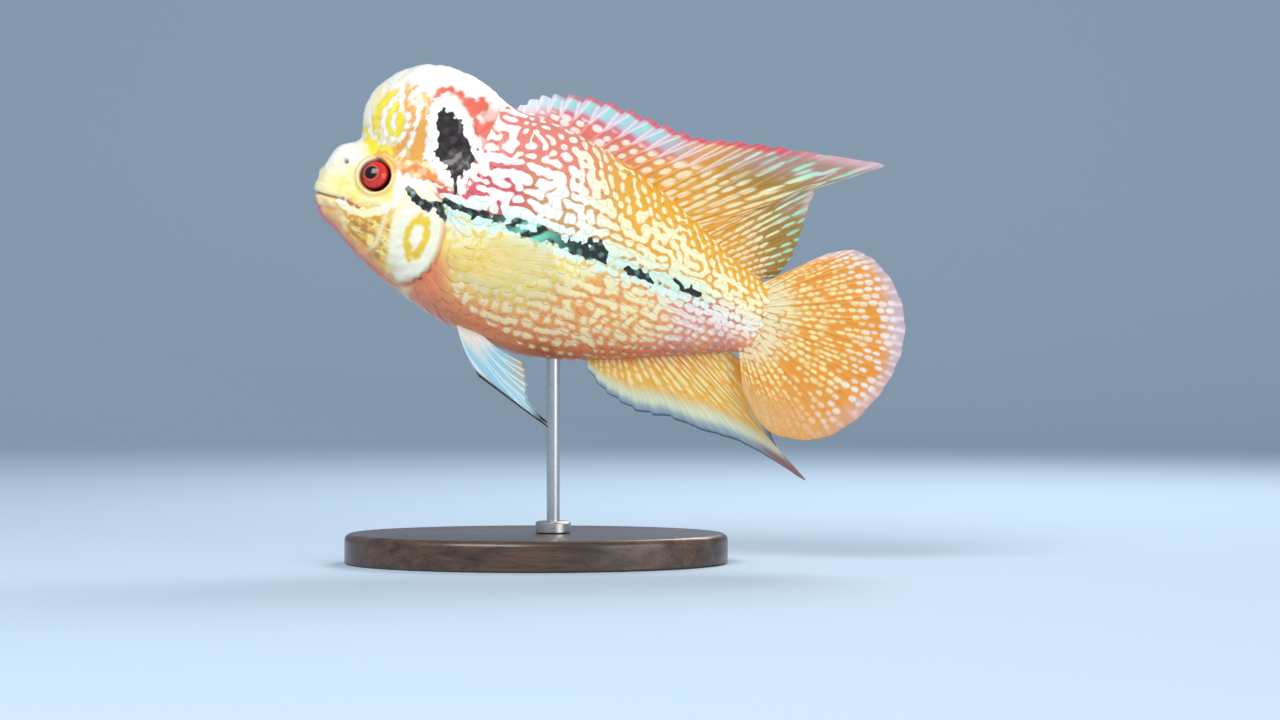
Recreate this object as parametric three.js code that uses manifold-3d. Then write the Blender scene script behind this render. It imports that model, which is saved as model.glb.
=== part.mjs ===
// A flowerhorn cichlid, 220 mm from snout to tail, as a still display model.
// It swims head up on one rod over a flat base. Millimetres, +Z up.
//
// The fish is drawn in its own frame: x runs from the snout to the tail, z up
// the back, and y to its right. Its left flank faces -Y. A group then pitches
// it and lifts it over the base, whose underside holds the origin.
import * as THREE from "three";
import { mergeVertices } from "three/addons/utils/BufferGeometryUtils.js";
import Module from "manifold-3d";

const wasm = await Module();
wasm.setup();

// The pose, and where the tip of the snout is above the base
const PITCH = THREE.MathUtils.degToRad(16);
const SNOUT_AT = [-80, 0, 136];
const GAP = 0.35; // between a node and the one it grows from

// Materials
const paint = (color, roughness, metalness = 0) =>
  new THREE.MeshStandardMaterial({ color, roughness, metalness });
const FACE = paint(0xf6efc0, 0.35);
const CROWN = paint(0xfbf8ec, 0.3);
const FLANK = paint(0xf1c9a4, 0.4);
const STALK = paint(0xf0c080, 0.4);
const FIN = paint(0xe0a040, 0.5);
const CLEAR_FIN = paint(0xcfe4ea, 0.45);
const EYE = paint(0xc8202a, 0.15);
const WALNUT = paint(0x4a2f20, 0.45);
const STEEL = paint(0xb8bcc0, 0.3, 1);

// A smooth curve through [x, value] pairs, flat past its ends.
function through(pairs) {
  const slope = (i) => {
    const a = pairs[Math.max(i - 1, 0)];
    const b = pairs[Math.min(i + 1, pairs.length - 1)];
    return (b[1] - a[1]) / (b[0] - a[0]);
  };
  return (x) => {
    if (x <= pairs[0][0]) return pairs[0][1];
    const i = pairs.findIndex((p) => p[0] >= x) - 1;
    if (i < 0) return pairs[pairs.length - 1][1];
    const [[x0, y0], [x1, y1]] = [pairs[i], pairs[i + 1]];
    const h = x1 - x0;
    const t = (x - x0) / h;
    return (
      y0 * (1 + 2 * t) * (1 - t) ** 2 +
      slope(i) * h * t * (1 - t) ** 2 +
      y1 * t * t * (3 - 2 * t) +
      slope(i + 1) * h * t * t * (t - 1)
    );
  };
}

// The body without its hump: back, belly, half width, and the height at which
// it is widest, all by distance from the snout
const SNOUT_X = -2;
const STALK_END_X = 170;
const SNOUT_Z = 7;
const SNOUT_ROUND = 5;
const STALK_ROUND = 3;
const MUZZLE_END_X = 12; // up to here the sections close on the tip of the snout
const back = through([
  [-2, 12.6], [2, 15.8], [7.5, 19.6], [13, 24], [22, 31], [34, 38],
  [46, 43.4], [59, 47.6], [70, 48.2], [82, 46.8], [97, 43.2], [113, 37.8],
  [129, 30.8], [143, 23.4], [154, 17.4], [163, 13.4], [170, 12.2],
]);
const belly = through([
  [-2, -3.4], [2.6, -6.2], [7.3, -9.4], [12.5, -13.3], [18, -17.2], [26, -21.7],
  [35, -25.8], [44, -29.2], [53, -32.4], [63, -34.4], [74, -36], [85, -37],
  [95, -36.2], [104, -34.4], [113, -31.9], [126, -27.6],
  [140, -22.6], [153, -17.8], [163, -14.2], [170, -13.2],
]);
const width = through([
  [-2, 6], [2, 8.2], [8, 11.2], [15, 13.9], [24, 16.3], [36, 18.4], [48, 19.7], [62, 19.9],
  [80, 18.7], [98, 16.2], [116, 13], [134, 9.8], [150, 7.2], [162, 5.5], [170, 4.8],
]);
const widest = through([
  [-2, 4], [12, 2], [30, 0], [50, 0], [75, 2], [110, 2.5], [150, 0.5], [170, -0.5],
]);

// The tail swings towards the fish's left from here on.
const SWING_FROM = 95;
const SWING_AT_TIP = -17;
const TAIL_TIP_X = 220;
const sway = (x) => SWING_AT_TIP * (Math.max(0, x - SWING_FROM) / (TAIL_TIP_X - SWING_FROM)) ** 2;

// How much of the full section is left near the two rounded ends
function endRound(x, grow) {
  const fromSnout = Math.min(1, Math.max(0, (x - SNOUT_X + grow) / SNOUT_ROUND));
  const fromStalk = Math.min(1, Math.max(0, (STALK_END_X + grow - x) / STALK_ROUND));
  return Math.sqrt(1 - (1 - fromSnout) ** 2) * Math.sqrt(1 - (1 - fromStalk) ** 2);
}

// The height of a section's middle, where it is widest
function sectionMiddle(x, round) {
  return SNOUT_Z + (widest(x) - SNOUT_Z) * (x < MUZZLE_END_X ? round : 1);
}

// Half the body's width at a place on its side, for seating what grows there
function flank(x, z) {
  const round = endRound(x, 0);
  const middle = sectionMiddle(x, round);
  const reach = z > middle ? (back(x) - middle) * round : (middle - belly(x)) * round;
  const share = Math.min(1, Math.abs(z - middle) / reach);
  return width(x) * round * Math.sqrt(1 - share * share);
}

// A closed mesh through rings of points, with a fan over each end
function loft(rings) {
  const n = rings[0].length;
  const sumOf = (ring) => ring.reduce((sum, p) => sum.add(p), new THREE.Vector3());
  const middle = (ring) => sumOf(ring).divideScalar(n);
  const points = [...rings.flat(), middle(rings[0]), middle(rings[rings.length - 1])];
  const first = rings.length * n;
  const faces = [];
  for (let j = 0; j < n; j++) {
    const k = (j + 1) % n;
    faces.push(first, k, j, first + 1, first - n + j, first - n + k);
    for (let i = 0; i < rings.length - 1; i++) {
      const [a, b, c, d] = [i * n + j, i * n + k, (i + 1) * n + k, (i + 1) * n + j];
      faces.push(a, b, c, a, c, d);
    }
  }
  return new THREE.BufferGeometry().setFromPoints(points).setIndex(faces);
}

// The numbers from a to b in n even steps
const evenly = (a, b, n) => Array.from({ length: n + 1 }, (_, i) => a + ((b - a) * i) / n);

// The whole body, head to tail stalk, as one skin; grow swells it evenly
const AROUND = 30;
const SNOUT_STEPS = 7;
const SNOUT_FIRST = 0.12; // where the first ring lies, as a share of the snout's rounding
const TRUNK_STEPS = 30;
const STALK_LAST = [0.3, 0.85]; // the last rings, as shares of the stalk's rounding
function bodyShape(grow = 0) {
  const start = SNOUT_X - grow;
  const end = STALK_END_X + grow;
  const snoutAt = (f) => start + SNOUT_ROUND * (1 - Math.cos((f * Math.PI) / 2));
  const stalkAt = (f) => end - STALK_ROUND * (1 - Math.sin((f * Math.PI) / 2));
  const stations = [
    ...evenly(SNOUT_FIRST, 1, SNOUT_STEPS).map(snoutAt),
    ...evenly(start + SNOUT_ROUND, end - STALK_ROUND, TRUNK_STEPS).slice(1),
    ...evenly(...STALK_LAST, 2).map(stalkAt),
  ];
  return loft(
    stations.map((x) => {
      const round = endRound(x, grow);
      const middle = sectionMiddle(x, round);
      return Array.from({ length: AROUND }, (_, j) => {
        const a = (2 * Math.PI * j) / AROUND;
        const reach = Math.sin(a) > 0 ? back(x) - middle + grow : middle - belly(x) + grow;
        const y = (width(x) + grow) * round * Math.cos(a);
        return new THREE.Vector3(x, sway(x) + y, middle + reach * round * Math.sin(a));
      });
    }),
  );
}

// The nuchal hump: an egg that leans back over the nape
const HUMP = { x: 34.5, z: 33, front: 25.5, rear: 31.8, high: 23.8, wide: 17 };
function humpShape(grow = 0) {
  const egg = new THREE.SphereGeometry(1, 26, 16);
  const at = egg.attributes.position;
  for (let i = 0; i < at.count; i++) {
    const along = at.getX(i) < 0 ? HUMP.front : HUMP.rear;
    at.setXYZ(
      i,
      HUMP.x + at.getX(i) * (along + grow),
      at.getY(i) * (HUMP.wide + grow),
      HUMP.z + at.getZ(i) * (HUMP.high + grow),
    );
  }
  return egg;
}

// manifold-3d joins and cuts; these turn a geometry into its solid and back.
function solid(geometry) {
  const bare = new THREE.BufferGeometry();
  bare.setAttribute("position", geometry.getAttribute("position"));
  if (geometry.index) bare.setIndex(geometry.index);
  const merged = mergeVertices(bare, 1e-4);
  return new wasm.Manifold(
    new wasm.Mesh({
      numProp: 3,
      vertProperties: new Float32Array(merged.attributes.position.array),
      triVerts: new Uint32Array(merged.index.array),
    }),
  );
}

// The largest closed surface of a solid, which drops loose scraps
const largest = (made) =>
  made.decompose().reduce((a, b) => (b.volume() > a.volume() ? b : a));

function geometryOf(made) {
  const mesh = largest(made).getMesh();
  return new THREE.BufferGeometry()
    .setAttribute("position", new THREE.BufferAttribute(new Float32Array(mesh.vertProperties), 3))
    .setIndex(new THREE.BufferAttribute(mesh.triVerts, 1));
}

// How far the regions that divide the fish reach past it on each side
const AHEAD = -20;
const BEHIND = 250;
const ABOVE = 70;
const UNDER = -50;
const ASIDE = 60;

// A prism through the fish, from an outline of [x, z] pairs seen from its left
function prism(outline, yFrom = -ASIDE, yTo = ASIDE) {
  const shape = new THREE.Shape(outline.map(([x, z]) => new THREE.Vector2(x, z)));
  const made = new THREE.ExtrudeGeometry(shape, { depth: yTo - yFrom, bevelEnabled: false });
  return made.rotateX(Math.PI / 2).translate(0, yTo, 0);
}

const shifted = (outline, dx) => outline.map(([x, z]) => [x + dx, z]);

// An outline that runs clockwise, moved outwards by a distance all round
function widened(outline, by) {
  return outline.map(([x, z], i) => {
    const [x0, z0] = outline.at(i - 1);
    const [x1, z1] = outline[(i + 1) % outline.length];
    const turn = new THREE.Vector2(-(z1 - z0), x1 - x0).normalize();
    return [x + turn.x * by, z + turn.y * by];
  });
}

const mirrored = (geometry) => {
  const turned = geometry.clone().scale(1, -1, 1).toNonIndexed();
  const at = turned.attributes.position;
  for (let i = 0; i < at.count; i += 3) {
    const [x, y, z] = [at.getX(i), at.getY(i), at.getZ(i)];
    at.setXYZ(i, at.getX(i + 1), at.getY(i + 1), at.getZ(i + 1));
    at.setXYZ(i + 1, x, y, z);
  }
  return turned;
};

const fish = new THREE.Group();
fish.rotation.y = PITCH;
fish.position.set(...SNOUT_AT);
fish.updateMatrix();

function addTo(group, name, shape, material) {
  const mesh = new THREE.Mesh(shape instanceof wasm.Manifold ? geometryOf(shape) : shape, material);
  mesh.name = name;
  group.add(mesh);
  return mesh;
}

const body = solid(bodyShape());
const bodyClear = solid(bodyShape(GAP));
const humpClear = solid(humpShape(GAP));

// Where the head ends: down from the nape, round behind the gill covers, to the throat
const GILL_REAR = [
  [41, 12], [45.4, 8.6], [48.2, 3.4], [49.7, -2.6],
  [49.9, -9], [48.8, -14.8], [46, -19.6], [42, -22.8],
];
const GILL_FRONT = [[37.6, -24], [34.2, -20], [31.8, -11], [31.2, -1], [32.4, 7], [35.6, 12.2]];
const NAPE = [[60, ABOVE], [54, 38], [48, 18], [43.5, 12.6]];
const THROAT = [[41, -27], [39, UNDER]];
const NECK = [...NAPE, ...shifted(GILL_REAR, GAP).slice(1), ...THROAT];
const headRegion = solid(prism([...NECK, [AHEAD, UNDER], [AHEAD, ABOVE]]));
const trunkRegion = solid(prism([...shifted(NECK, GAP), [BEHIND, UNDER], [BEHIND, ABOVE]]));

// Gill covers: a curved plate on each side of the head, a little proud of it
const COVER_PROUD = 0.7;
const COVER_DEEP = 2.4;
const COVER_OUTLINE = [...GILL_REAR, ...GILL_FRONT];
const COVER_FROM_Y = -1;
const coverRegion = prism(COVER_OUTLINE, -ASIDE, COVER_FROM_Y);
const coverPocket = prism(widened(COVER_OUTLINE, GAP), -ASIDE, COVER_FROM_Y + GAP);
const underCover = solid(bodyShape(-COVER_DEEP));
const overCover = solid(bodyShape(COVER_PROUD));
const leftCover = solid(coverRegion).intersect(overCover).subtract(underCover);
addTo(fish, "gill_cover_left", leftCover, FACE);
addTo(fish, "gill_cover_right", mirrored(geometryOf(leftCover)), FACE);
const pocket = solid(coverPocket).subtract(solid(bodyShape(-COVER_DEEP - GAP)));
const pockets = pocket.add(solid(mirrored(geometryOf(pocket))));

// Turns a shape that faces up +Y to lie on the flank at a place on one side
function laid(shape, side, x, z, span, out) {
  const lean = Math.atan((flank(x + span, z) - flank(x - span, z)) / (2 * span));
  const tilt = Math.atan((flank(x, z + span) - flank(x, z - span)) / (2 * span));
  const turned = shape.rotateZ(side * lean).rotateX(-side * tilt);
  return turned.translate(x, side * (flank(x, z) + out), z);
}

// Eyes: a flattened ball on each side, standing just proud of the cheek, in a
// ring of flesh
const EYE_AT = { x: 20.5, z: 10.6, r: 5.6, deep: 4.4, proud: 1.4, rim: 0.85, rimSunk: 0.3 };
const atEye = (shape, side, out) => laid(shape, side, EYE_AT.x, EYE_AT.z, EYE_AT.r, out);
function eyeBall(side, grow = 0) {
  const ball = new THREE.SphereGeometry(1, 16, 10).rotateX(Math.PI / 2);
  ball.scale(EYE_AT.r + grow, EYE_AT.deep + grow, EYE_AT.r + grow);
  return atEye(ball, side, EYE_AT.proud - EYE_AT.deep);
}
function eyeRim(side) {
  const ring = new THREE.TorusGeometry(EYE_AT.r + GAP, EYE_AT.rim, 6, 20).rotateX(Math.PI / 2);
  return atEye(ring, side, -EYE_AT.rimSunk);
}
for (const [name, side] of [["eye_left", -1], ["eye_right", 1]]) {
  addTo(fish, name, eyeBall(side), EYE);
}

// Nostrils: a small pit with a low rim, half way from the lip to the eye
const NOSTRIL = { x: 8.6, z: 12.8, ring: 1.25, tube: 0.45, pit: 0.85, deep: 2, span: 1 };
const atNostril = (shape, side) => laid(shape, side, NOSTRIL.x, NOSTRIL.z, NOSTRIL.span, 0);
const nostrilRim = (side) =>
  atNostril(new THREE.TorusGeometry(NOSTRIL.ring, NOSTRIL.tube, 6, 12).rotateX(Math.PI / 2), side);
const nostrilPit = (side) =>
  atNostril(new THREE.CylinderGeometry(NOSTRIL.pit, NOSTRIL.pit, 2 * NOSTRIL.deep, 12), side);

// Lips: a thick roll above and below the line of the mouth, from corner to corner
const MOUTH = { z: -0.9, cornerX: 11.6, cornerSunk: 0.5 };
const UPPER_LIP = { z: MOUTH.z + 2.2, frontX: -1.8, thick: 2.2, thin: 0.9 };
const LOWER_LIP = { z: MOUTH.z - 1.9, frontX: -0.3, thick: 1.9, thin: 0.8 };
function lip({ z, frontX, thick, thin }) {
  const up = new THREE.Vector3(0, 0, 1);
  const cornerY = flank(MOUTH.cornerX, z) - MOUTH.cornerSunk;
  const middleX = frontX + thick;
  const centre = (a) => {
    const x = middleX + (MOUTH.cornerX - middleX) * (1 - Math.cos(a));
    return new THREE.Vector3(x, cornerY * Math.sin(a), z);
  };
  const rings = evenly(-Math.PI / 2, Math.PI / 2, 14).map((a) => {
    const r = thin + (thick - thin) * Math.cos(a);
    const along = centre(a + 0.01).sub(centre(a - 0.01)).normalize();
    const out = up.clone().cross(along).normalize();
    const around = evenly(0, 2 * Math.PI, 8).slice(1);
    return around.map((b) =>
      centre(a).addScaledVector(out, r * Math.cos(b)).addScaledVector(up, r * Math.sin(b)),
    );
  });
  return loft(rings);
}
const upperLip = solid(lip(UPPER_LIP));
const lowerLip = solid(lip(LOWER_LIP));

// The lower jaw: cut from the head along the mouth and down behind the chin
const JAW = [
  [AHEAD, MOUTH.z], [MOUTH.cornerX, MOUTH.z - 0.3], [14.6, -5],
  [15.6, -11], [14, UNDER], [AHEAD, UNDER],
];
const jawCut = JAW.map(([x, z]) => [x > 0 ? x + GAP : x, z > UNDER ? z + GAP : z]);
const headBlank = body.intersect(headRegion);
addTo(fish, "lower_jaw", headBlank.add(lowerLip).intersect(solid(prism(JAW))), FACE);

// The edge of the cheek plate: a low ridge down in front of the gill cover
const CHEEK_EDGE = [[29.6, 6], [28.6, 0], [28.2, -6], [27.6, -12], [25, -17], [20.6, -18]];
const CHEEK_RIDGE = { half: 1.1, proud: 0.5, sunk: 2, taper: 0.25 };
function cheekRidge(side) {
  const course = new THREE.SplineCurve(CHEEK_EDGE.map(([x, z]) => new THREE.Vector2(x, z)));
  const rings = evenly(0, 1, 10).map((f) => {
    const p = course.getPoint(f);
    const across = course.getTangent(f).rotateAround(new THREE.Vector2(), Math.PI / 2);
    across.multiplyScalar(CHEEK_RIDGE.half);
    const high = CHEEK_RIDGE.proud * Math.min(1, Math.sin(Math.PI * f) + CHEEK_RIDGE.taper);
    const at = (share, out) => {
      const [x, z] = [p.x + across.x * share, p.y + across.y * share];
      return new THREE.Vector3(x, side * (flank(x, z) + out), z);
    };
    const foot = (share) => at(share, -CHEEK_RIDGE.sunk);
    const ring = [foot(-1), at(-1, 0), at(0, high), at(1, 0), foot(1)];
    return side < 0 ? ring.reverse() : ring;
  });
  return loft(rings);
}

// The head: lips, rims, nostrils and cheek edges are part of it
const sides = [-1, 1];
let head = headBlank.add(upperLip);
for (const side of sides) {
  head = head
    .add(solid(eyeRim(side)))
    .add(solid(cheekRidge(side)))
    .add(solid(nostrilRim(side)))
    .subtract(solid(nostrilPit(side)))
    .subtract(solid(eyeBall(side, GAP)));
}
addTo(fish, "head", head.subtract(solid(prism(jawCut))).subtract(pockets), FACE);
addTo(fish, "nuchal_hump", solid(humpShape()).subtract(bodyClear), CROWN);

// Trunk and tail stalk, parted by a thin slanting cut
const STALK_CUT = [[148, ABOVE], [152, UNDER]];
const trunkEnd = solid(prism([...STALK_CUT, [AHEAD, UNDER], [AHEAD, ABOVE]]));
const stalkStart = solid(prism([...shifted(STALK_CUT, GAP), [BEHIND, UNDER], [BEHIND, ABOVE]]));
const trunkBlank = body.intersect(trunkRegion);
addTo(fish, "trunk", trunkBlank.intersect(trunkEnd), FLANK);
addTo(fish, "tail_stalk", trunkBlank.intersect(stalkStart), STALK);

// A fin: a sheet from a root line to an outer edge, both splines over the same
// share of the fin. Each ray is a ridge on both faces, and the web between
// two rays is thinner and ends a little short of their tips.
const RIDGE_FOOT = 0.28; // of the space between two rays
const NOTCH_LEAD = 0.4; // the web's shortening next to one ray, against the next
function fin({ root, edge, rays, rows, thick, thin, ridge, notch, side, bow = 0 }) {
  const columns = [];
  for (let k = 0; k < rays; k++) {
    const at = (d) => (k + d) / (rays - 1);
    columns.push({ f: at(0), up: 1, short: 0 });
    if (k === rays - 1) continue;
    columns.push({ f: at(RIDGE_FOOT), up: 0, short: NOTCH_LEAD });
    columns.push({ f: at(1 - RIDGE_FOOT), up: 0, short: 1 });
  }
  const sheet = [-1, 1].map((face) =>
    columns.map(({ f, up, short }) => {
      const from = root(f);
      const to = edge(f);
      const long = from.distanceTo(to);
      const across = new THREE.Vector2(-(to.y - from.y), to.x - from.x).divideScalar(long);
      return evenly(0, 1, rows).map((s) => {
        const reach = s * (1 - (short * notch(f)) / long);
        const bowed = bow * long * Math.sin(Math.PI * s);
        const p = from.clone().lerp(to, reach).addScaledVector(across, bowed);
        const half = THREE.MathUtils.lerp(thick, thin, Math.sqrt(s)) / 2 + up * ridge * (1 - s * s);
        return new THREE.Vector3(p.x, side(p.x, p.y, f, s) + face * half, p.y);
      });
    }),
  );
  const [near, far] = sheet;
  const n = rows + 1;
  const count = columns.length * n;
  const faces = [];
  // Seen from the fish's left, a fin whose rays point down runs the other way round.
  const [firstRay, lastRay] = [near[0], near[near.length - 1]];
  const downward = firstRay[rows].z < firstRay[0].z && lastRay[0].x > firstRay[0].x - 1;
  const triangle = (a, b, c) => (downward ? faces.push(a, c, b) : faces.push(a, b, c));
  const quad = (a, b, c, d) => {
    triangle(a, b, c);
    triangle(a, c, d);
  };
  for (let i = 0; i < columns.length - 1; i++) {
    for (let j = 0; j < rows; j++) {
      const [a, b, c, d] = [i * n + j, (i + 1) * n + j, (i + 1) * n + j + 1, i * n + j + 1];
      quad(a, b, c, d);
      triangle(a + count, c + count, b + count);
      triangle(a + count, d + count, c + count);
    }
    quad(i * n, i * n + count, (i + 1) * n + count, (i + 1) * n);
    quad((i + 1) * n + rows, (i + 1) * n + rows + count, i * n + rows + count, i * n + rows);
  }
  const last = (columns.length - 1) * n;
  for (let j = 0; j < rows; j++) {
    quad(j, j + 1, j + 1 + count, j + count);
    quad(last + j + 1, last + j, last + j + count, last + j + 1 + count);
  }
  const points = [...near.flat(), ...far.flat()];
  return new THREE.BufferGeometry().setFromPoints(points).setIndex(faces);
}

const line = (...pairs) => {
  const curve = new THREE.SplineCurve(pairs.map(([x, z]) => new THREE.Vector2(x, z)));
  return (f) => curve.getPoint(f);
};

// Fins keep this much of themselves inside the body before it is cut away.
const SUNK = 3;

// Dorsal fin: 17 spines, then 12 soft rays that trail into a long point
const DORSAL_RAYS = 29;
const SPINES_SHARE = 17 / DORSAL_RAYS;
const DORSAL_X = { first: 61, lastSpine: 129, last: 160 };
const dorsalRoot = (f) => {
  const soft = (f - SPINES_SHARE) / (1 - SPINES_SHARE);
  const x =
    soft < 0
      ? THREE.MathUtils.lerp(DORSAL_X.first, DORSAL_X.lastSpine, f / SPINES_SHARE)
      : THREE.MathUtils.lerp(DORSAL_X.lastSpine, DORSAL_X.last, soft);
  return new THREE.Vector2(x, back(x) - SUNK);
};
const dorsalEdge = line(
  [62.5, 50.6], [68.5, 55.9], [77, 59], [90, 61], [105, 59.8], [118, 58.2],
  [130, 57.4], [143, 59.8], [157, 62], [174, 63.8], [197, 66], [177.5, 57],
  [174.6, 47], [174.2, 36], [173.4, 25], [170, 15.8],
);
const dorsalSide = (x, z, f, s) =>
  sway(dorsalRoot(f).x) + s * (3.6 * f * f + 1.1 * Math.sin(7 * f) * s);
const dorsal = fin({
  root: dorsalRoot, edge: dorsalEdge, side: dorsalSide, rays: DORSAL_RAYS, rows: 5,
  thick: 2.6, thin: 0.6, ridge: 0.4, notch: (f) => (f < SPINES_SHARE ? 1.5 : 0.5),
});
addTo(fish, "dorsal_fin", solid(dorsal).subtract(bodyClear).subtract(humpClear), FIN);

// Anal fin: 7 spines and 10 soft rays, held a little to the right, clear of the tail
const ANAL_RAYS = 17;
const ANAL_SPINES_SHARE = 7 / ANAL_RAYS;
const ANAL_X = { first: 111, last: 157 };
const analRoot = (f) => {
  const x = THREE.MathUtils.lerp(ANAL_X.first, ANAL_X.last, f);
  return new THREE.Vector2(x, belly(x) + SUNK);
};
const analEdge = line(
  [113, -35.8], [119.5, -40.6], [127, -43.6], [136, -45.4], [147, -44.4], [160, -45.4],
  [173, -45.6], [186, -48.4], [201, -52.6], [188, -44.4], [179, -35], [171.5, -25],
);
const analSide = (x, z, f, s) =>
  sway(analRoot(f).x) + s * (9.5 * f * f + 0.8 * Math.sin(8 * f) * s);
const anal = fin({
  root: analRoot, edge: analEdge, side: analSide, rays: ANAL_RAYS, rows: 5,
  thick: 2.4, thin: 0.6, ridge: 0.35, notch: (f) => (f < ANAL_SPINES_SHARE ? 1 : 0.4),
});
addTo(fish, "anal_fin", solid(anal).subtract(bodyClear), FIN);

// Tail fin: a round fan of 16 rays
const tailRoot = line([163, 10.4], [167, 6], [168.5, -0.5], [167, -7], [163, -11.6]);
const tailEdge = line(
  [176, 21.2], [185, 28.8], [194.5, 32.8], [203.5, 30.3], [212, 23.4], [218, 13.5],
  [220, 3], [219.2, -6], [216.5, -15.6], [210.5, -27], [201.5, -36], [191, -39.3],
  [182.5, -37.6], [174, -28.6],
);
const tailSide = (x, z, f, s) => sway(x) + 1.3 * Math.sin(5 * f + 0.6) * s * s;
const tail = fin({
  root: tailRoot, edge: tailEdge, side: tailSide, rays: 16, rows: 6,
  thick: 4.6, thin: 0.6, ridge: 0.4, notch: () => 0.5,
});
addTo(fish, "tail_fin", solid(tail).subtract(bodyClear), FIN);

// Pelvic fins: one each side of the belly, splayed, with the first ray drawn out long
const PELVIC_Y = 5; // from the midline, at the height of the root
const PELVIC_ROOT_Z = -32;
const PELVIC_SPLAY = 0.26;
const pelvicRoot = line([62, -31.5], [65, -32.4], [69, -33.4], [73, -34]);
const pelvicEdge = line(
  [76, -48.8], [104.6, -59.4], [95.6, -53.4], [93.6, -48.4], [91.6, -43.4], [89.6, -39.4],
);
const pelvicSide = (x, z) => -PELVIC_Y - PELVIC_SPLAY * (PELVIC_ROOT_Z - z);
const pelvicSheet = fin({
  root: pelvicRoot, edge: pelvicEdge, side: pelvicSide, rays: 6, rows: 6,
  thick: 2, thin: 0.6, ridge: 0.35, notch: () => 0.8, bow: -0.05,
});
const pelvic = solid(pelvicSheet).subtract(bodyClear);
addTo(fish, "pelvic_fin_left", pelvic, CLEAR_FIN);
addTo(fish, "pelvic_fin_right", mirrored(geometryOf(pelvic)), CLEAR_FIN);

// Pectoral fins: a clear fan behind each gill cover, swung out from the flank
const pectoralRoot = line([52, -5.4], [52.6, -8], [53.4, -10.6], [54.6, -13]);
const pectoralEdge = line(
  [74, 3.6], [83, 4.2], [89.5, 1.6], [92, -2.6], [90, -7.4], [84.5, -11.8], [77, -15], [69.5, -16.8],
);
const PECTORAL_SEAT = { x: 54, z: -9, sunk: 1.6 };
const PECTORAL_FROM_X = 52;
const PECTORAL_FLARE = 0.2;
const pectoralSide = (x) =>
  PECTORAL_SEAT.sunk - flank(PECTORAL_SEAT.x, PECTORAL_SEAT.z) - PECTORAL_FLARE * (x - PECTORAL_FROM_X);
const pectoralSheet = fin({
  root: pectoralRoot, edge: pectoralEdge, side: pectoralSide, rays: 12, rows: 4,
  thick: 1.6, thin: 0.55, ridge: 0.25, notch: () => 0.5,
});
const pectoral = solid(pectoralSheet).subtract(bodyClear);
addTo(fish, "pectoral_fin_left", pectoral, CLEAR_FIN);
addTo(fish, "pectoral_fin_right", mirrored(geometryOf(pectoral)), CLEAR_FIN);

// The stand: an oval walnut base, a collar, and a steel rod up to the belly
const stand = new THREE.Group();
const BASE = { long: 140, deep: 92, high: 11, chamfer: 2.5, foot: 0.8 };
const ROD = { x: 6.2, r: 2.4, collarR: 6.5, collarHigh: 4 };
const oval = (z, inset) =>
  evenly(0, 2 * Math.PI, 48).slice(1).map((a) => {
    const x = (BASE.long / 2 - inset) * Math.cos(a);
    const y = (BASE.deep / 2 - inset) * Math.sin(a);
    return new THREE.Vector3(x, y, z);
  });
const baseShape = loft([
  oval(0, BASE.foot), oval(BASE.foot, 0), oval(BASE.high - BASE.chamfer, 0), oval(BASE.high, BASE.chamfer),
]);
addTo(stand, "stand_base", baseShape, WALNUT);
function upright(r, from, to, sides) {
  const rod = new THREE.CylinderGeometry(r, r, to - from, sides).rotateX(Math.PI / 2);
  return solid(rod.translate(ROD.x, 0, (from + to) / 2));
}
const bodyPosed = solid(bodyShape(GAP).applyMatrix4(fish.matrix));
const footZ = BASE.high + GAP;
const collarTopZ = footZ + ROD.collarHigh;
const collar = upright(ROD.collarR, footZ, collarTopZ, 24);
addTo(stand, "stand_collar", collar.subtract(upright(ROD.r + GAP, 0, collarTopZ + 1, 16)), STEEL);
addTo(stand, "stand_rod", upright(ROD.r, footZ, SNOUT_AT[2], 16).subtract(bodyPosed), STEEL);

const model = new THREE.Group();
model.add(fish, stand);
export default model;
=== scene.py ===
import math

import bmesh
import bpy
import numpy as np
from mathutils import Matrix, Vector


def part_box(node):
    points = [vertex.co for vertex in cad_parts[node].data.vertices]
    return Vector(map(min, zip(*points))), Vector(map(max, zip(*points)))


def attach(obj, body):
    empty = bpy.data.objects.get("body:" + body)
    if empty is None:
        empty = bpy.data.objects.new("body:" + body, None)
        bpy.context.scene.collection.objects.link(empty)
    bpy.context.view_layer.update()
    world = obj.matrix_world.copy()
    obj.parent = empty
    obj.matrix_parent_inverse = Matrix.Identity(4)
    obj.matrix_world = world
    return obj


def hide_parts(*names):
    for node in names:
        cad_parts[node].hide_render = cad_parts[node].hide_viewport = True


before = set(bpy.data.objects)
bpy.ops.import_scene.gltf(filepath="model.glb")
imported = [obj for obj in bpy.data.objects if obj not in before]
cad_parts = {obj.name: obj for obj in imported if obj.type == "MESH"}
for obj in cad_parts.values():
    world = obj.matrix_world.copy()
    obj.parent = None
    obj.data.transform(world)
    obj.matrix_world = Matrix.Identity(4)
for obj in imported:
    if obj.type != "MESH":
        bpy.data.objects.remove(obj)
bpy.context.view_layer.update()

# The room: a pale sweep of paper under soft boxes, seen level from the fish's
# left at the photo's angle, with the camera's long lens about a metre away.
camera = bpy.data.objects.new("camera", bpy.data.cameras.new("camera"))
bpy.context.collection.objects.link(camera)
camera.location = (0.0379, -0.95, 0.0742)
camera.rotation_euler = (math.pi / 2, 0, 0)
camera.data.lens = 73.1
camera.data.sensor_width = 36
bpy.context.scene.camera = camera
bpy.context.scene.view_settings.view_transform = "Standard"


def simple_material(name, colour, roughness=0.5, metallic=0.0):
    mat = bpy.data.materials.new(name)
    mat.use_nodes = True
    shader = mat.node_tree.nodes["Principled BSDF"]
    shader.inputs["Base Color"].default_value = (*colour, 1)
    shader.inputs["Roughness"].default_value = roughness
    shader.inputs["Metallic"].default_value = metallic
    return mat


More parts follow.
